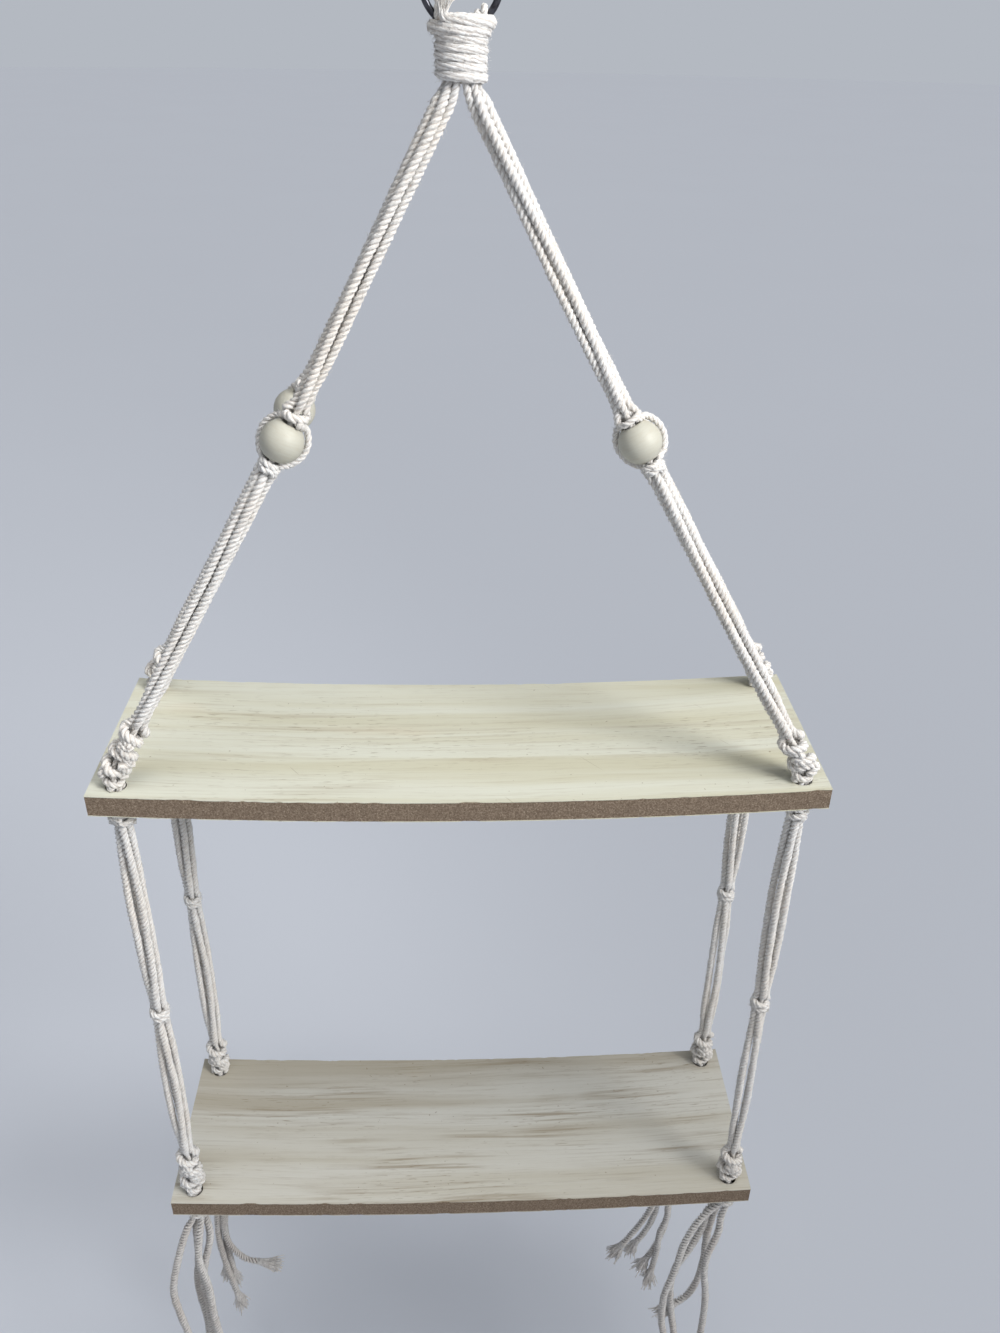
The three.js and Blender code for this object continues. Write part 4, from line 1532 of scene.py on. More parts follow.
class Leg:
    """What every leg shares: four cords about a centre line, and the ways to lay and to tie them."""

    sennit_foot = 0.0

    def __init__(self, corner: Corner, line: LegLine, twist: Twist, rng: Draws) -> None:
        """Keeps the leg's corner, line and make-up.

        Args:
            corner: The leg's corner.
            line: Its centre line.
            twist: How its cords are laid up.
            rng: The source of its random draws.
        """
        self.corner = corner
        self.line = line
        self.twist = twist
        self.rng = rng
        self.fuzz = Fuzz()
        self.heights = [LEG.run_knot] * (3 if corner is Corner.FRONT_LEFT else 2) + [LEG.neck_knot]
        self.run_turn = len(self.heights) * LEG.turning
        self.inward = -LEG.inward * corner.side

    @property
    def sennit_top(self) -> float:
        """Where the run of half knots over the shelf starts."""
        return self.sennit_foot - sum(self.heights)

    def span(self, start: float, end: float, x: float, y: float, bow: float, sway: float) -> list[Mark]:
        """Lays a free stretch of one cord between two places, bowed a little away from the others.

        Args:
            start: Where it starts along the leg.
            end: Where it ends.
            x: Its offset along wide.
            y: Its offset along deep.
            bow: How far it bows out, in metres.
            sway: The angle that it has turned by about the leg half-way.

        Returns:
            The marks between the two places, which are left out.
        """
        count = max(2, int((end - start) / LEG.span_stride))
        reach = math.hypot(x, y)
        marks = []
        for i in range(1, count):
            share = i / count
            rise = math.sin(math.pi * share)
            out, turn = 1 + bow * rise / reach, sway * rise
            wide = out * (x * math.cos(turn) - y * math.sin(turn)) + self.rng.normal(0, LEG.wander)
            deep = out * (x * math.sin(turn) + y * math.cos(turn)) + self.rng.normal(0, LEG.wander)
            marks.append(Mark(start + share * (end - start), wide, deep, SIZES.cord_radius))
        return marks

    def bow(self) -> float:
        """Gives how far the next free stretch of a knotting cord bows out."""
        return LEG.bow

    def free(self, knots: Knotting, start: float, end: float, sway: float) -> None:
        """Lays both knotting cords free between two places.

        Args:
            knots: The knots and cords tied so far.
            start: Where they start along the leg.
            end: Where they end.
            sway: The angle that they have turned by half-way.
        """
        for cord in (0, 1):
            x = SIZES.spread * (-1 if cord == knots.left else 1)
            knots.cords[cord].append(Mark(start, x, 0, SIZES.cord_radius))
            knots.cords[cord] += self.span(start, end, x, 0, self.bow(), sway)
            knots.cords[cord].append(Mark(end, x, 0, SIZES.cord_radius))

    def tie_run(self, knots: Knotting) -> None:
        """Ties the run of half knots over the shelf.

        Args:
            knots: The knots and cords tied so far.
        """
        along = self.sennit_top
        for i, height in enumerate(self.heights):
            knots.size = LEG.run if i < len(self.heights) - 1 else LEG.neck
            knots.half_knot(along, height, 1, i * LEG.turning, LEG.turning)
            along += height

    def filler(
        self,
        y: int,
        along: float,
        spread: float = SIZES.spread,
        radius: float = SIZES.cord_radius,
        turn: float = 0.0,
        shift: float = 0.0,
    ) -> Mark:
        """Places a filler at an angle about the leg.

        Args:
            y: 1 for the filler at the back, -1 for the one in front.
            along: The place along the leg.
            spread: How far it lies from their middle.
            radius: Its radius.
            turn: The angle.
            shift: How far their middle lies to the right of the leg's.

        Returns:
            The mark.
        """
        wide, deep = -y * spread * math.sin(turn), y * spread * math.cos(turn)
        return Mark(along, shift + wide, deep, radius)

    def filler_in_run(self, y: int) -> list[Mark]:
        """Leads a filler into the run of half knots over the shelf and through it.

        Args:
            y: 1 for the filler at the back, -1 for the one in front.

        Returns:
            Its marks.
        """
        size = LEG.square.filler
        marks = [self.filler(y, self.sennit_top - LEG.filler_gap)]
        for i in range(len(self.heights) + 1):
            along = self.sennit_top + sum(self.heights[:i])
            marks.append(self.filler(y, along, size, size, i * LEG.turning))
        return marks

    def settle(self, mark: Mark) -> Mark:
        """Gives a mark its last place; an upper leg's marks spread out sooner under the gather."""
        return mark

    def make(self, name: str, cords: list[list[Mark]], cotton: Material, body: str, node: str) -> None:
        """Makes one piece of cords that follow marks along the leg.

        Args:
            name: The piece's name without the corner.
            cords: Each cord's marks.
            cotton: The cords' finish.
            body: The body that it rides on.
            node: The name of the node that it replaces, without the corner.
        """
        label = self.corner.label
        stock = MeshStock()
        for marks in cords:
            rows = self.line.rows([self.settle(mark) for mark in marks], self.twist.step)
            self.twist.lay_up(stock, rows, self.rng.uniform(0, FULL_TURN))
            self.fuzz.add(stock, rows, len(rows), self.rng)
        dress(stock.make(f"{label}_{name}"), cotton, "cotton", body, f"{label}_{node}")


class UpperLeg(Leg):
    """An upper leg: from the gather over a bead and down through the upper shelf to its stop knot."""

    def __init__(self, corner: Corner, twist: Twist, rng: Draws) -> None:
        """Works out the leg's line and the places along it.

        Args:
            corner: The leg's corner.
            twist: How its cords are laid up.
            rng: The source of its random draws.
        """
        top_x, top_y = np.mean(seats_in_gather(), axis=0)
        bend = -SIZES.upper_drop - SIZES.board_end_dip + SIZES.hole_bend
        hole_x, hole_y = corner.side * SIZES.hole_x, corner.row * SIZES.hole_y
        top = Vector((corner.side * top_x, corner.row * top_y, SIZES.leg_top))
        corners = [
            top,
            top - Vector((0, 0, SIZES.leg_top_bend)),
            Vector((hole_x, hole_y, bend)),
            Vector((hole_x, hole_y, SIZES.upper_stop)),
        ]
        super().__init__(corner, LegLine(corners, SIZES.bend_cut), twist, rng)
        bend_length = self.line.length - (bend - SIZES.upper_stop)
        self.bead = SIZES.bead_place_share * bend_length
        if corner is Corner.BACK_RIGHT:
            self.bead += SIZES.back_right_bead_drop
        self.top_knot, self.low_knot = self.bead - LEG.knot_offset, self.bead + LEG.knot_offset
        self.sennit_foot = bend_length + LEG.foot_below_bend
        self.stop_top = self.line.length - SIZES.knot_half_height
        self.in_hole = (self.sennit_foot + LEG.into_hole, self.stop_top - LEG.into_knot)
        self.sways = rng.uniform(*LEG.upper_sway, 2) * (1, -1) * corner.side

    def settle(self, mark: Mark) -> Mark:
        """Moves a mark outwards where the leg leaves the gather.

        Args:
            mark: The mark.

        Returns:
            The moved mark.
        """
        shift = float(np.interp(mark.along / MM, LEG.settle_at, LEG.settle_by)) * MM
        wide = mark.wide + LEG.settle_way[0] * self.corner.side * shift
        return Mark(mark.along, wide, mark.deep + LEG.settle_way[1] * self.corner.row * shift, mark.radius)

    def opening(self, seat: int) -> list[Mark]:
        """Leads one strand out of the gather, growing to its full size.

        Args:
            seat: 0 outer knotting cord, 1 outer filler, 2 inner knotting cord, 3 inner filler.

        Returns:
            Its marks.
        """
        seats = seats_in_gather()
        x, y = np.array(seats[seat]) - np.mean(seats, axis=0)
        seat_angle, seat_radius = math.atan2(y, x), math.hypot(x, y)
        growth = SIZES.cord_radius - SIZES.squeezed_radius
        marks = []
        for along, share in LEG.opening:
            angle = seat_angle + (LEG.opening_angles[seat] - seat_angle) * share
            radius = seat_radius + (SIZES.spread - seat_radius) * share
            size = SIZES.squeezed_radius + growth * min(share * LEG.opening_growth, 1)
            wide = self.corner.side * radius * math.cos(angle)
            deep = self.corner.row * radius * math.sin(angle)
            marks.append(Mark(along * MM, wide, deep, size))
        return marks

    def tie_top_knot(self, knots: Knotting) -> None:
        """Ties the knot over the bead: in front one half knot, tight on the left and open on the right.

        Args:
            knots: The knots and cords tied so far.
        """
        if self.corner is Corner.FRONT_RIGHT:
            knots.size = LEG.right_half_knot
            knots.half_knot(self.top_knot, LEG.right_half_knot_height * LEG.knot_half, -1)
        elif self.corner is Corner.FRONT_LEFT:
            knots.size = LEG.left_half_knot
            knots.half_knot(self.top_knot - LEG.knot_half, 2 * LEG.knot_half, -1)
        else:
            knots.square_knot(self.top_knot, LEG.knot_half)

    def pass_bead(self, knots: Knotting) -> None:
        """Leads the knotting cords round the bead.

        Args:
            knots: The knots and cords tied so far.
        """
        bypass = SIZES.bead_radius + LEG.square.cord + LEG.bead_clearance
        offset, turn, wide, deep = LEG.back_bypass if self.corner.row > 0 else LEG.front_bypass
        for angle in LEG.bypass_angles:
            swing = math.radians(angle)
            reach = bypass * math.cos(swing)
            along = self.bead + bypass * math.sin(swing)
            knots.straight(along, offset * reach, LEG.square.cord, turn, wide * reach, deep * reach)

    def knotting_marks(self) -> list[list[Mark]]:
        """Leads the two knotting cords from the gather to the stop knot.

        Returns:
            Each cord's marks.
        """
        knots = Knotting(LEG.square)
        outer, inner = self.opening(0), self.opening(2)
        knots.cords = [outer, inner] if self.corner.side < 0 else [inner, outer]
        outside = LEG.knot_half + LEG.cord_gap
        self.free(knots, SIZES.open_length, self.top_knot - outside, self.sways[0])
        self.tie_top_knot(knots)
        self.pass_bead(knots)
        knots.size = LEG.square
        knots.square_knot(self.low_knot, LEG.knot_half)
        self.free(knots, self.low_knot + outside, self.sennit_top - LEG.cord_gap, self.sways[1])
        self.tie_run(knots)
        for along in self.in_hole:
            knots.straight(along, LEG.hole_spread, LEG.hole_cord, self.run_turn, self.inward)
        knots.size = LEG.stop
        knots.square_knot(self.line.length, SIZES.knot_half_height, self.run_turn)
        return knots.cords

    def filler_marks(self, seat: int) -> list[Mark]:
        """Leads one filler straight through every knot and the bead.

        Args:
            seat: 1 for the outer filler, 3 for the inner one.

        Returns:
            Its marks.
        """
        y = self.corner.row * (1 if seat == 1 else -1)
        size = LEG.square.filler
        outside = LEG.knot_half + LEG.filler_gap
        above, below = self.top_knot - outside, self.low_knot + outside
        marks = self.opening(seat)
        marks += self.span(SIZES.open_length, above, 0, y * SIZES.spread, LEG.bow, self.sways[0])
        marks.append(self.filler(y, above))
        marks += [self.filler(y, self.top_knot + way * LEG.knot_half, size, size) for way in (-1, 1)]
        for share in (-1, 0, 1):
            along = self.bead + share * LEG.bead_pass
            marks.append(self.filler(y, along, LEG.bead_spread, LEG.bead_cord))
        marks += [self.filler(y, self.low_knot + way * LEG.knot_half, size, size) for way in (-1, 1)]
        marks.append(self.filler(y, below))
        end = self.sennit_top - LEG.filler_gap
        marks += self.span(below, end, 0, y * SIZES.spread, LEG.bow, self.sways[1])
        marks += self.filler_in_run(y)
        for along in self.in_hole:
            marks.append(
                self.filler(y, along, LEG.hole_spread, LEG.hole_cord, self.run_turn, self.inward)
            )
        for along in (self.stop_top, self.line.length + LEG.past_stop):
            marks.append(self.filler(y, along, LEG.stop.filler, LEG.stop.cord, self.run_turn))
        return marks

    def build(self, cotton: Material, wood: Material) -> None:
        """Makes the leg's cords and its bead.

        Args:
            cotton: The cords' finish.
            wood: The bead's finish.
        """
        self.make("upper_knotted_cords", self.knotting_marks(), cotton, "hanger", "upper_knotting_cords")
        for number, seat in ((1, 1), (2, 3)):
            marks = self.filler_marks(seat)
            self.make(f"upper_core_cord_{number}", [marks], cotton, "hanger", f"upper_filler_{number}")
        place = self.line.look_up(self.line.places, self.bead)
        axis = Vector(self.line.look_up(self.line.tangents, self.bead))
        Bead(self.corner.label, SIZES.bead_radius - LEG.bead_shrink).build(place, axis, wood)


@dataclass
class Bead:
    """A turned wooden bead with a drilled bore whose edges are broken."""

    label: str
    radius: float
    bore: float = SIZES.bore_radius
    edge: float = 0.7 * MM
    edge_shares: tuple = (0.35, 0.75)
    edge_lift: float = 0.1 * MM
    segments: int = 56
    rows: int = 22
    bore_rows: int = 4

    def profile(self) -> list[tuple[float, float]]:
        """Gives the closed outline as (radius, height): up the outside and down the bore.

        Returns:
            Its points in order.
        """
        half = math.sqrt(self.radius**2 - (self.bore + self.edge) ** 2)
        limit = math.asin(half / self.radius)
        outline = []
        for i in range(self.rows + 1):
            angle = limit * (2 * i / self.rows - 1)
            outline.append((self.radius * math.cos(angle), self.radius * math.sin(angle)))
        broken = []
        for share in self.edge_shares:
            turn = share * math.pi / 2
            height = half - self.edge * (1 - math.cos(turn)) + self.edge_lift
            broken.append((self.bore + self.edge * (1 - math.sin(turn)), height))
        outline += broken
        for i in range(self.bore_rows + 1):
            outline.append((self.bore, (half - self.edge) * (1 - 2 * i / self.bore_rows)))
        return outline + [(reach, -height) for reach, height in reversed(broken)]

    def build(self, place: Points, axis: Vector, wood: Material) -> None:
        """Turns the outline about the leg's line.

        Args:
            place: Its middle.
            axis: The direction of its bore.
            wood: Its finish.
        """
        outline = self.profile()
        local = []
        for i in range(self.segments):
            turn = FULL_TURN * i / self.segments
            local += [(r * math.cos(turn), r * math.sin(turn), h) for r, h in outline]
        faces = grid_faces(self.segments, len(outline), closed=True)[:, TURNED_OVER].tolist()
        pose = Matrix.Translation(Vector(place)) @ axis.to_track_quat("Z", "X").to_matrix().to_4x4()
        name, node = f"{self.label}_wood_bead", f"{self.label}_bead"
        mesh = smooth_mesh(name, [pose @ Vector(point) for point in local], faces)
        turned = mesh.attributes.new("turned", "FLOAT_VECTOR", "POINT")
        grain = np.array([(x, z, y) for x, y, z in local]) / MM + np.array(place) / MM
        turned.data.foreach_set("vector", grain.astype(np.float32).ravel())
        dress(put(name, mesh), wood, "bead_wood", node, node)


class LowerLeg(Leg):
    """A lower leg: straight from under the upper stop knot to the top of the lower shelf."""

    def __init__(self, corner: Corner, twist: Twist, rng: Draws) -> None:
        """Works out the leg's line and the places along it.

        Args:
            corner: The leg's corner.
            twist: How its cords are laid up.
            rng: The source of its random draws.
        """
        x, y = corner.side * SIZES.hole_x, corner.row * SIZES.hole_y
        corners = [Vector((x, y, SIZES.lower_leg_top)), Vector((x, y, SIZES.lower_leg_foot))]
        super().__init__(corner, LegLine(corners, 0), twist, rng)
        self.sennit_foot = self.line.length - LEG.foot_over_shelf
        self.middle = SIZES.lower_knot_place_share * self.line.length
        self.sways = rng.uniform(*LEG.lower_sway, 2) * rng.choice((-1, 1), 2)

    def bow(self) -> float:
        """Draws how far the next free stretch of a knotting cord bows out."""
        return self.rng.uniform(*LEG.lower_cord_bow)

    def knotting_marks(self) -> list[list[Mark]]:
        """Leads the two knotting cords through the middle knot and the half knots over the shelf.

        Returns:
            Each cord's marks.
        """
        knots = Knotting(LEG.square)
        outside = LEG.middle_knot_half + LEG.cord_gap
        knots.straight(-LEG.into_knot, SIZES.spread, SIZES.cord_radius)
        self.free(knots, 0, self.middle - outside, self.sways[0])
        knots.square_knot(self.middle, LEG.middle_knot_half)
        self.free(knots, self.middle + outside, self.sennit_top - LEG.cord_gap, self.sways[1])
        self.tie_run(knots)
        foot = self.line.length + LEG.into_shelf
        knots.straight(foot, LEG.hole_spread, LEG.hole_cord, self.run_turn, self.inward)
        return knots.cords

    def filler_marks(self, row: int) -> list[Mark]:
        """Leads one filler straight through the knots.

        Args:
            row: 1 for the outer filler, -1 for the inner one.

        Returns:
            Its marks.
        """
        y = self.corner.row * row
        size, half = LEG.square.filler, LEG.middle_knot_half
        above, below = self.middle - half - LEG.filler_gap, self.middle + half + LEG.filler_gap
        end = self.sennit_top - LEG.filler_gap
        bows = self.rng.uniform(*LEG.lower_filler_bow, 2)
        marks = [self.filler(y, along) for along in (-LEG.into_knot, 0)]
        marks += self.span(0, above, 0, y * SIZES.spread, bows[0], self.sways[0])
        marks.append(self.filler(y, above))
        marks += [self.filler(y, along, size, size) for along in (self.middle - half, self.middle + half)]
        marks.append(self.filler(y, below))
        marks += self.span(below, end, 0, y * SIZES.spread, bows[1], self.sways[1])
        marks += self.filler_in_run(y)
        foot = self.line.length + LEG.into_shelf
        marks.append(self.filler(y, foot, LEG.hole_spread, LEG.hole_cord, self.run_turn))
        return marks

    def build(self, cotton: Material) -> None:
        """Makes the leg's cords.

        Args:
            cotton: The cords' finish.
        """
        body = self.corner.ropes_body
        self.make("lower_knotted_cords", self.knotting_marks(), cotton, body, "lower_knotting_cords")
        for number, row in ((1, 1), (2, -1)):
            marks = self.filler_marks(row)
            self.make(f"lower_core_cord_{number}", [marks], cotton, body, f"lower_filler_{number}")


class FootKnot(Leg):
    """The strands in a hole of the lower shelf and the stop knot that carries the shelf."""

    def __init__(self, corner: Corner, twist: Twist, rng: Draws) -> None:
        """Works out the line from the shelf's top to the knot's foot.

        Args:
            corner: The leg's corner.
            twist: How its cords are laid up.
            rng: The source of its random draws.
        """
        x, y = corner.side * SIZES.hole_x, corner.row * SIZES.hole_y
        top = -SIZES.lower_drop - SIZES.board_end_dip - LEG.foot_over
        corners = [Vector((x, y, top)), Vector((x, y, SIZES.lower_stop - SIZES.knot_half_height))]
        super().__init__(corner, LegLine(corners, 0), twist, rng)

    def build(self, cotton: Material) -> None:
        """Makes the knot and the strands over it.

        Args:
            cotton: The cords' finish.
        """
        knots = Knotting(LEG.stop)
        middle = self.line.length - SIZES.knot_half_height
        stop_top = middle - SIZES.knot_half_height
        over_knot = stop_top - LEG.into_knot
        for along in (0, over_knot):
            knots.straight(along, LEG.foot_spread, LEG.stop.cord)
        knots.square_knot(middle, SIZES.knot_half_height)
        places = [(along, LEG.foot_spread) for along in (0, over_knot)]
        places += [(along, LEG.stop.filler) for along in (stop_top, self.line.length)]
        for y in (-1, 1):
            knots.cords.append([self.filler(y, along, spread, LEG.stop.cord) for along, spread in places])
        self.make("foot_knot", knots.cords, cotton, "lower_tier", "stop_knot")


@dataclass(frozen=True)
class Layer:
    """One layer of a shelf: its depths under the top face, and how its edges are worn."""

    name: str
    top: float
    bottom: float
    rough: float
    nicks: float
    over: float


@dataclass
class Shelf:
    """A sagging shelf: a fibreboard core between two thin veneers, drilled at its corners."""

    name: str
    body: str
    drop: float
    seed: int
    length: float = 400 * MM
    depth: float = 122 * MM
    thickness: float = 13 * MM
    sag: float = 6.5 * MM
    veneer: float = 0.4 * MM
    joint: float = 0.02 * MM
    hole: float = 5.6 * MM
    hole_edge: float = 0.15 * MM
    drill_sides: int = 40
    drill_flare: float = 3 * MM
    step: float = 1 * MM
    rim: float = 2 * MM
    inner_rows: int = 14
    side_rows: int = 9
    chips_per_edge: int = 26
    chip_width: tuple = (0.8, 4.0)
    sharp_angle: float = math.radians(35)

    def dip(self, x: Points) -> Points:
        """Gives how far the shelf hangs below its ends."""
        return self.sag * (1 - (2 * x / self.length) ** 2)

    def section(self, layer: Layer, half_depth: float) -> Points:
        """Gives the outline across a layer, as rows of y and depth under the top face.

        Args:
            layer: The layer.
            half_depth: Half its depth along Y.

        Returns:
            The rows in order.
        """
        inner = np.linspace(-half_depth + self.rim, half_depth - self.rim, self.inner_rows)
        across = np.concatenate([[-half_depth], inner, [half_depth]])
        thick = layer.bottom - layer.top > self.rim
        down = np.linspace(layer.top, layer.bottom, self.side_rows if thick else 2)
        outline = [(y, layer.top) for y in across]
        outline += [(half_depth, z) for z in down[1:]]
        outline += [(y, layer.bottom) for y in across[::-1][1:]]
        outline += [(-half_depth, z) for z in down[::-1][1:-1]]
        return np.array(outline)

    def slab(self, layer: Layer) -> bpy.types.Object:
        """Makes a layer of the shelf, before it is drilled.

        Args:
            layer: The layer.

        Returns:
            Its object.
        """
        rng = np.random.default_rng(self.seed)
        half, half_depth = self.length / 2 + layer.over, self.depth / 2 + layer.over
        x = np.linspace(-half, half, int(2 * half / self.step) + 1)
        y0, z0 = self.section(layer, half_depth).T
        count = len(y0)
        edge = np.abs(np.abs(y0) - half_depth) < 1e-9
        jitter = rng.normal(0, layer.rough, (len(x), count))
        inward = np.where(edge[None], np.abs(jitter) * 0.5, 0)
        chipped = np.ones(count)
        if layer.bottom - layer.top > self.rim:
            chipped = np.clip(1 - np.abs(z0 - layer.top) / self.rim, 0, 1)
        for sign, chip in zip((-1, 1), self.chips(rng, len(x), layer.nicks)):
            on_side = edge & (np.sign(y0) == sign)
            inward = inward + np.where(on_side[None], chip[:, None] * chipped[None], 0)
        fall = self.dip(np.clip(x, -self.length / 2, self.length / 2))
        places = np.empty((len(x), count, 3))
        places[..., 0] = x[:, None]
        places[..., 1] = y0[None] - np.sign(y0)[None] * inward
        places[..., 2] = -self.drop - fall[:, None] - z0[None]
        faces = grid_faces(len(x), count, closed=False)[:, TURNED_OVER].tolist()
        faces.append(list(range(count)))
        faces.append(list(range((len(x) - 1) * count, len(x) * count))[::-1])
        name = f"{self.name}_{layer.name}"
        return put(name, smooth_mesh(name, places.reshape(-1, 3), faces))

    def chips(self, rng: Draws, count: int, depth: float) -> list[Points]:
        """Breaks a few small chips out of each long edge.

        Args:
            rng: The source of the random draws.
            count: How many stations an edge has.
            depth: The depth of a chip.

        Returns:
            How far each station of the front and the back edge stands back.
        """
        edges = []
        for _ in range(2):
            edge = np.zeros(count)
            for _ in range(self.chips_per_edge):
                middle, width = rng.uniform(0, count), rng.uniform(*self.chip_width)
                away = (np.arange(count) - middle) / width
                edge += depth * rng.uniform(0.2, 1) * np.exp(-(away**2))
            edges.append(np.minimum(edge, depth))
        return edges

    def cutter(self) -> bpy.types.Object:
        """Makes the four drills, wider where they enter and leave the shelf.

        Returns:
            All four as one object.
        """
        top = -self.drop - SIZES.board_end_dip
        bottom = top - self.thickness
        wide = self.hole + self.drill_flare + self.hole_edge
        profile = [
            (wide, top + self.drill_flare),
            (self.hole, top - self.hole_edge),
            (self.hole, bottom + self.hole_edge),
            (wide, bottom - self.drill_flare),
        ]
        turns = [FULL_TURN * i / self.drill_sides for i in range(self.drill_sides)]
        bm = bmesh.new()
        for corner in Corner:
            x, y = corner.side * SIZES.hole_x, corner.row * SIZES.hole_y
            rings = []
            for radius, z in profile:
                ring = [(x + radius * math.cos(turn), y + radius * math.sin(turn), z) for turn in turns]
                rings.append([bm.verts.new(place) for place in ring])
            for upper, lower in zip(rings, rings[1:]):
                for i in range(self.drill_sides):
                    beside = (i + 1) % self.drill_sides
                    bm.faces.new((upper[i], lower[i], lower[beside], upper[beside]))
            bm.faces.new(rings[0])
            bm.faces.new(rings[-1][::-1])
        bmesh.ops.recalc_face_normals(bm, faces=bm.faces)
        mesh = bpy.data.meshes.new("drill")
        bm.to_mesh(mesh)
        bm.free()
        return put("drill", mesh)

    def drill(self, slab: bpy.types.Object) -> None:
        """Cuts the four cord holes through a layer.

        Args:
            slab: The layer's object.
        """
        cutter = self.cutter()
        cut = slab.modifiers.new("holes", "BOOLEAN")
        cut.operation, cut.solver, cut.object = "DIFFERENCE", "EXACT", cutter
        ready = slab.evaluated_get(bpy.context.evaluated_depsgraph_get())
        mesh = bpy.data.meshes.new_from_object(ready)
        slab.modifiers.clear()
        old, slab.data = slab.data, mesh
        drill_mesh = cutter.data
        bpy.data.objects.remove(cutter)
        for spent in (old, drill_mesh):
            bpy.data.meshes.remove(spent)
        mesh.name = slab.name
        mesh.polygons.foreach_set("use_smooth", [True] * len(mesh.polygons))
        mesh.set_sharp_from_angle(angle=self.sharp_angle)

    def build(self, veneer: Material, fibre: Material) -> None:
        """Makes the core and the two veneers.

        Args:
            veneer: The faces' finish.
            fibre: The core's finish.
        """
        core_top, back_top = self.veneer + self.joint, self.thickness - self.veneer
        core = Layer("core", core_top, back_top - self.joint, 0.12 * MM, 0.5 * MM, 0.0)
        worn = (0.05 * MM, 0.7 * MM, 0.15 * MM)
        face = Layer("face_veneer", 0.0, self.veneer, *worn)
        back = Layer("back_veneer", back_top, self.thickness, *worn)
        for layer, finish in ((core, fibre), (face, veneer), (back, veneer)):
            slab = self.slab(layer)
            self.drill(slab)
            dress(slab, finish, "shelf_board", self.body, self.name)


# Camera, floor and light


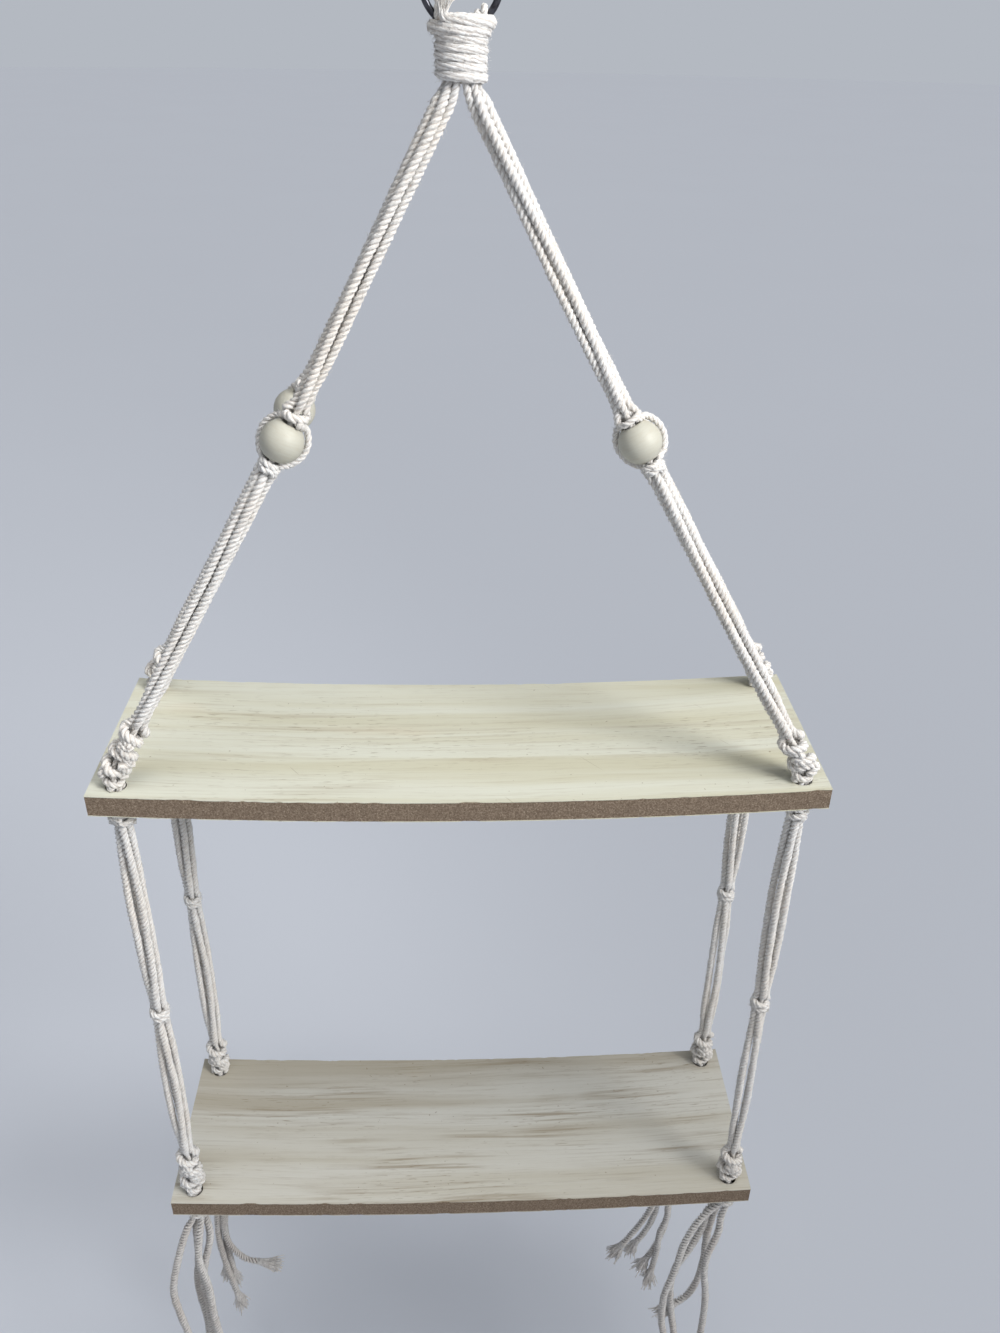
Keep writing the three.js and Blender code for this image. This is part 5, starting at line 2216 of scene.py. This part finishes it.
@dataclass
class Studio:
    """The camera at the photograph's viewing angle, a plain floor and soft light."""

    place: tuple = (-3.65 * MM, -542.4 * MM, -26.7 * MM)
    yaw: float = -2.63
    pitch: float = 30.27
    roll: float = -1.03
    focal_pixels: float = 1116.4
    picture_pixels: int = 1333
    sensor: float = 36.0
    sight: tuple = (0.01, 60)
    floor_drop: float = 1.14
    floor_radius: float = 28.0
    floor_sides: int = 96
    sky: Colour = srgb(225, 232, 245)
    sky_strength: float = 0.26
    backdrop: Colour = srgb(180, 185, 193)
    warm: tuple = (1.0, 0.99, 0.97)
    cool: tuple = (0.95, 0.98, 1.0)

    def set_camera(self) -> None:
        """Makes the camera."""
        data = bpy.data.cameras.new("camera")
        data.sensor_width = self.sensor
        data.lens = self.focal_pixels / self.picture_pixels * self.sensor
        data.clip_start, data.clip_end = self.sight
        turn = Matrix.Identity(3)
        for degrees, axis in ((self.yaw, "Z"), (-self.pitch, "X"), (self.roll, "Y"), (90, "X")):
            turn = turn @ Matrix.Rotation(math.radians(degrees), 3, axis)
        camera = put("camera", data)
        camera.matrix_world = Matrix.Translation(self.place) @ turn.to_4x4()
        bpy.context.scene.camera = camera

    def lay_floor(self, finish: Material) -> None:
        """Makes the round floor.

        Args:
            finish: Its finish.
        """
        turns = [FULL_TURN * i / self.floor_sides for i in range(self.floor_sides)]
        rim = [(self.floor_radius * math.cos(turn), self.floor_radius * math.sin(turn)) for turn in turns]
        mesh = bpy.data.meshes.new("floor")
        mesh.from_pydata([(x, y, -self.floor_drop) for x, y in rim], [], [list(range(len(rim)))])
        mesh.materials.append(finish)
        put("floor", mesh)

    def light(self) -> None:
        """Sets the world's light, the plain backdrop, three broad suns and a near lamp."""
        world = bpy.data.worlds.new("studio")
        world.use_nodes = True
        tree = world.node_tree
        sky = tree.nodes["Background"]
        sky.inputs["Color"].default_value = self.sky
        sky.inputs["Strength"].default_value = self.sky_strength
        backdrop = tree.nodes.new("ShaderNodeBackground")
        backdrop.inputs["Color"].default_value = self.backdrop
        ray = tree.nodes.new("ShaderNodeLightPath")
        pick = tree.nodes.new("ShaderNodeMixShader")
        tree.links.new(ray.outputs["Is Camera Ray"], pick.inputs["Fac"])
        tree.links.new(sky.outputs[0], pick.inputs[1])
        tree.links.new(backdrop.outputs[0], pick.inputs[2])
        tree.links.new(pick.outputs[0], tree.nodes["World Output"].inputs["Surface"])
        bpy.context.scene.world = world
        self.sun("key", way=(1.0, -0.7, 0.75), strength=0.7, spread=30.0, colour=self.warm)
        self.near_lamp("near_key", (0.95, -0.8, 0.5), (0.0, 0.0, -0.08), power=86.0, cone=58.0, size=0.28)
        self.sun("top", way=(0.12, -0.2, 1.0), strength=1.25, spread=34.0, colour=self.warm)
        self.sun("fill", way=(-0.3, -1.0, 0.3), strength=0.35, spread=70.0, colour=self.cool)

    def near_lamp(
        self, name: str, place: tuple, aim: tuple, power: float, cone: float, size: float
    ) -> None:
        """Adds a near lamp whose light dies away from its aim.

        Args:
            name: Its name.
            place: Where it stands.
            aim: Where it points.
            power: Its power in watts.
            cone: The angle of its cone, in degrees.
            size: Its radius.
        """
        data = bpy.data.lights.new(name, "SPOT")
        data.energy, data.spot_size, data.spot_blend = power, math.radians(cone), 1.0
        data.shadow_soft_size = size
        lamp = put(name, data)
        lamp.location = place
        lamp.rotation_euler = (Vector(place) - Vector(aim)).to_track_quat("Z", "Y").to_euler()

    def sun(self, name: str, way: tuple, strength: float, spread: float, colour: tuple) -> None:
        """Adds one far, broad lamp.

        Args:
            name: Its name.
            way: The direction towards it.
            strength: Its strength.
            spread: The angle that it covers in the sky, in degrees.
            colour: Its colour.
        """
        data = bpy.data.lights.new(name, "SUN")
        data.energy, data.angle, data.color = strength, math.radians(spread), colour
        put(name, data).rotation_euler = Vector(way).to_track_quat("Z", "Y").to_euler()


def main() -> None:
    """Builds the shelf from the top down, after its camera and its loose cords."""
    logging.basicConfig(level=logging.INFO, format="%(message)s")
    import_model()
    bpy.context.scene.view_settings.view_transform = "Standard"
    studio = Studio()
    studio.set_camera()
    # The tassels take a darker copy of the cotton, as painted shade.
    cotton, shaded_loose_cotton = Cotton().material(), SHADED_LOOSE_COTTON.material()
    wood, fibre = BeadWood().material(), Fibreboard().material()
    twist = Twist()
    rng = np.random.default_rng(RANDOM_SEED)
    for corner in Corner:
        Tassel(corner).build(shaded_loose_cotton, rng)
    Ring().build(RingSteel().material())
    gather = Gather()
    gather.build_loops(cotton, rng)
    gather.build_wrap(cotton, rng)
    for corner in Corner:
        UpperLeg(corner, twist, rng).build(cotton, wood)
        LowerLeg(corner, twist, rng).build(cotton)
        FootKnot(corner, twist, rng).build(cotton)
    # The lower shelf takes a darker, greyer copy of the veneer, as painted shade.
    upper, lower = Veneer("upper_veneer").material(), SHADED_LOWER_VENEER.material()
    Shelf("upper_shelf", "hanger", SIZES.upper_drop, seed=3).build(upper, fibre)
    Shelf("lower_shelf", "lower_tier", SIZES.lower_drop, seed=5).build(lower, fibre)
    studio.lay_floor(StudioFloor().material())
    studio.light()


if __name__ == "__main__":
    main()
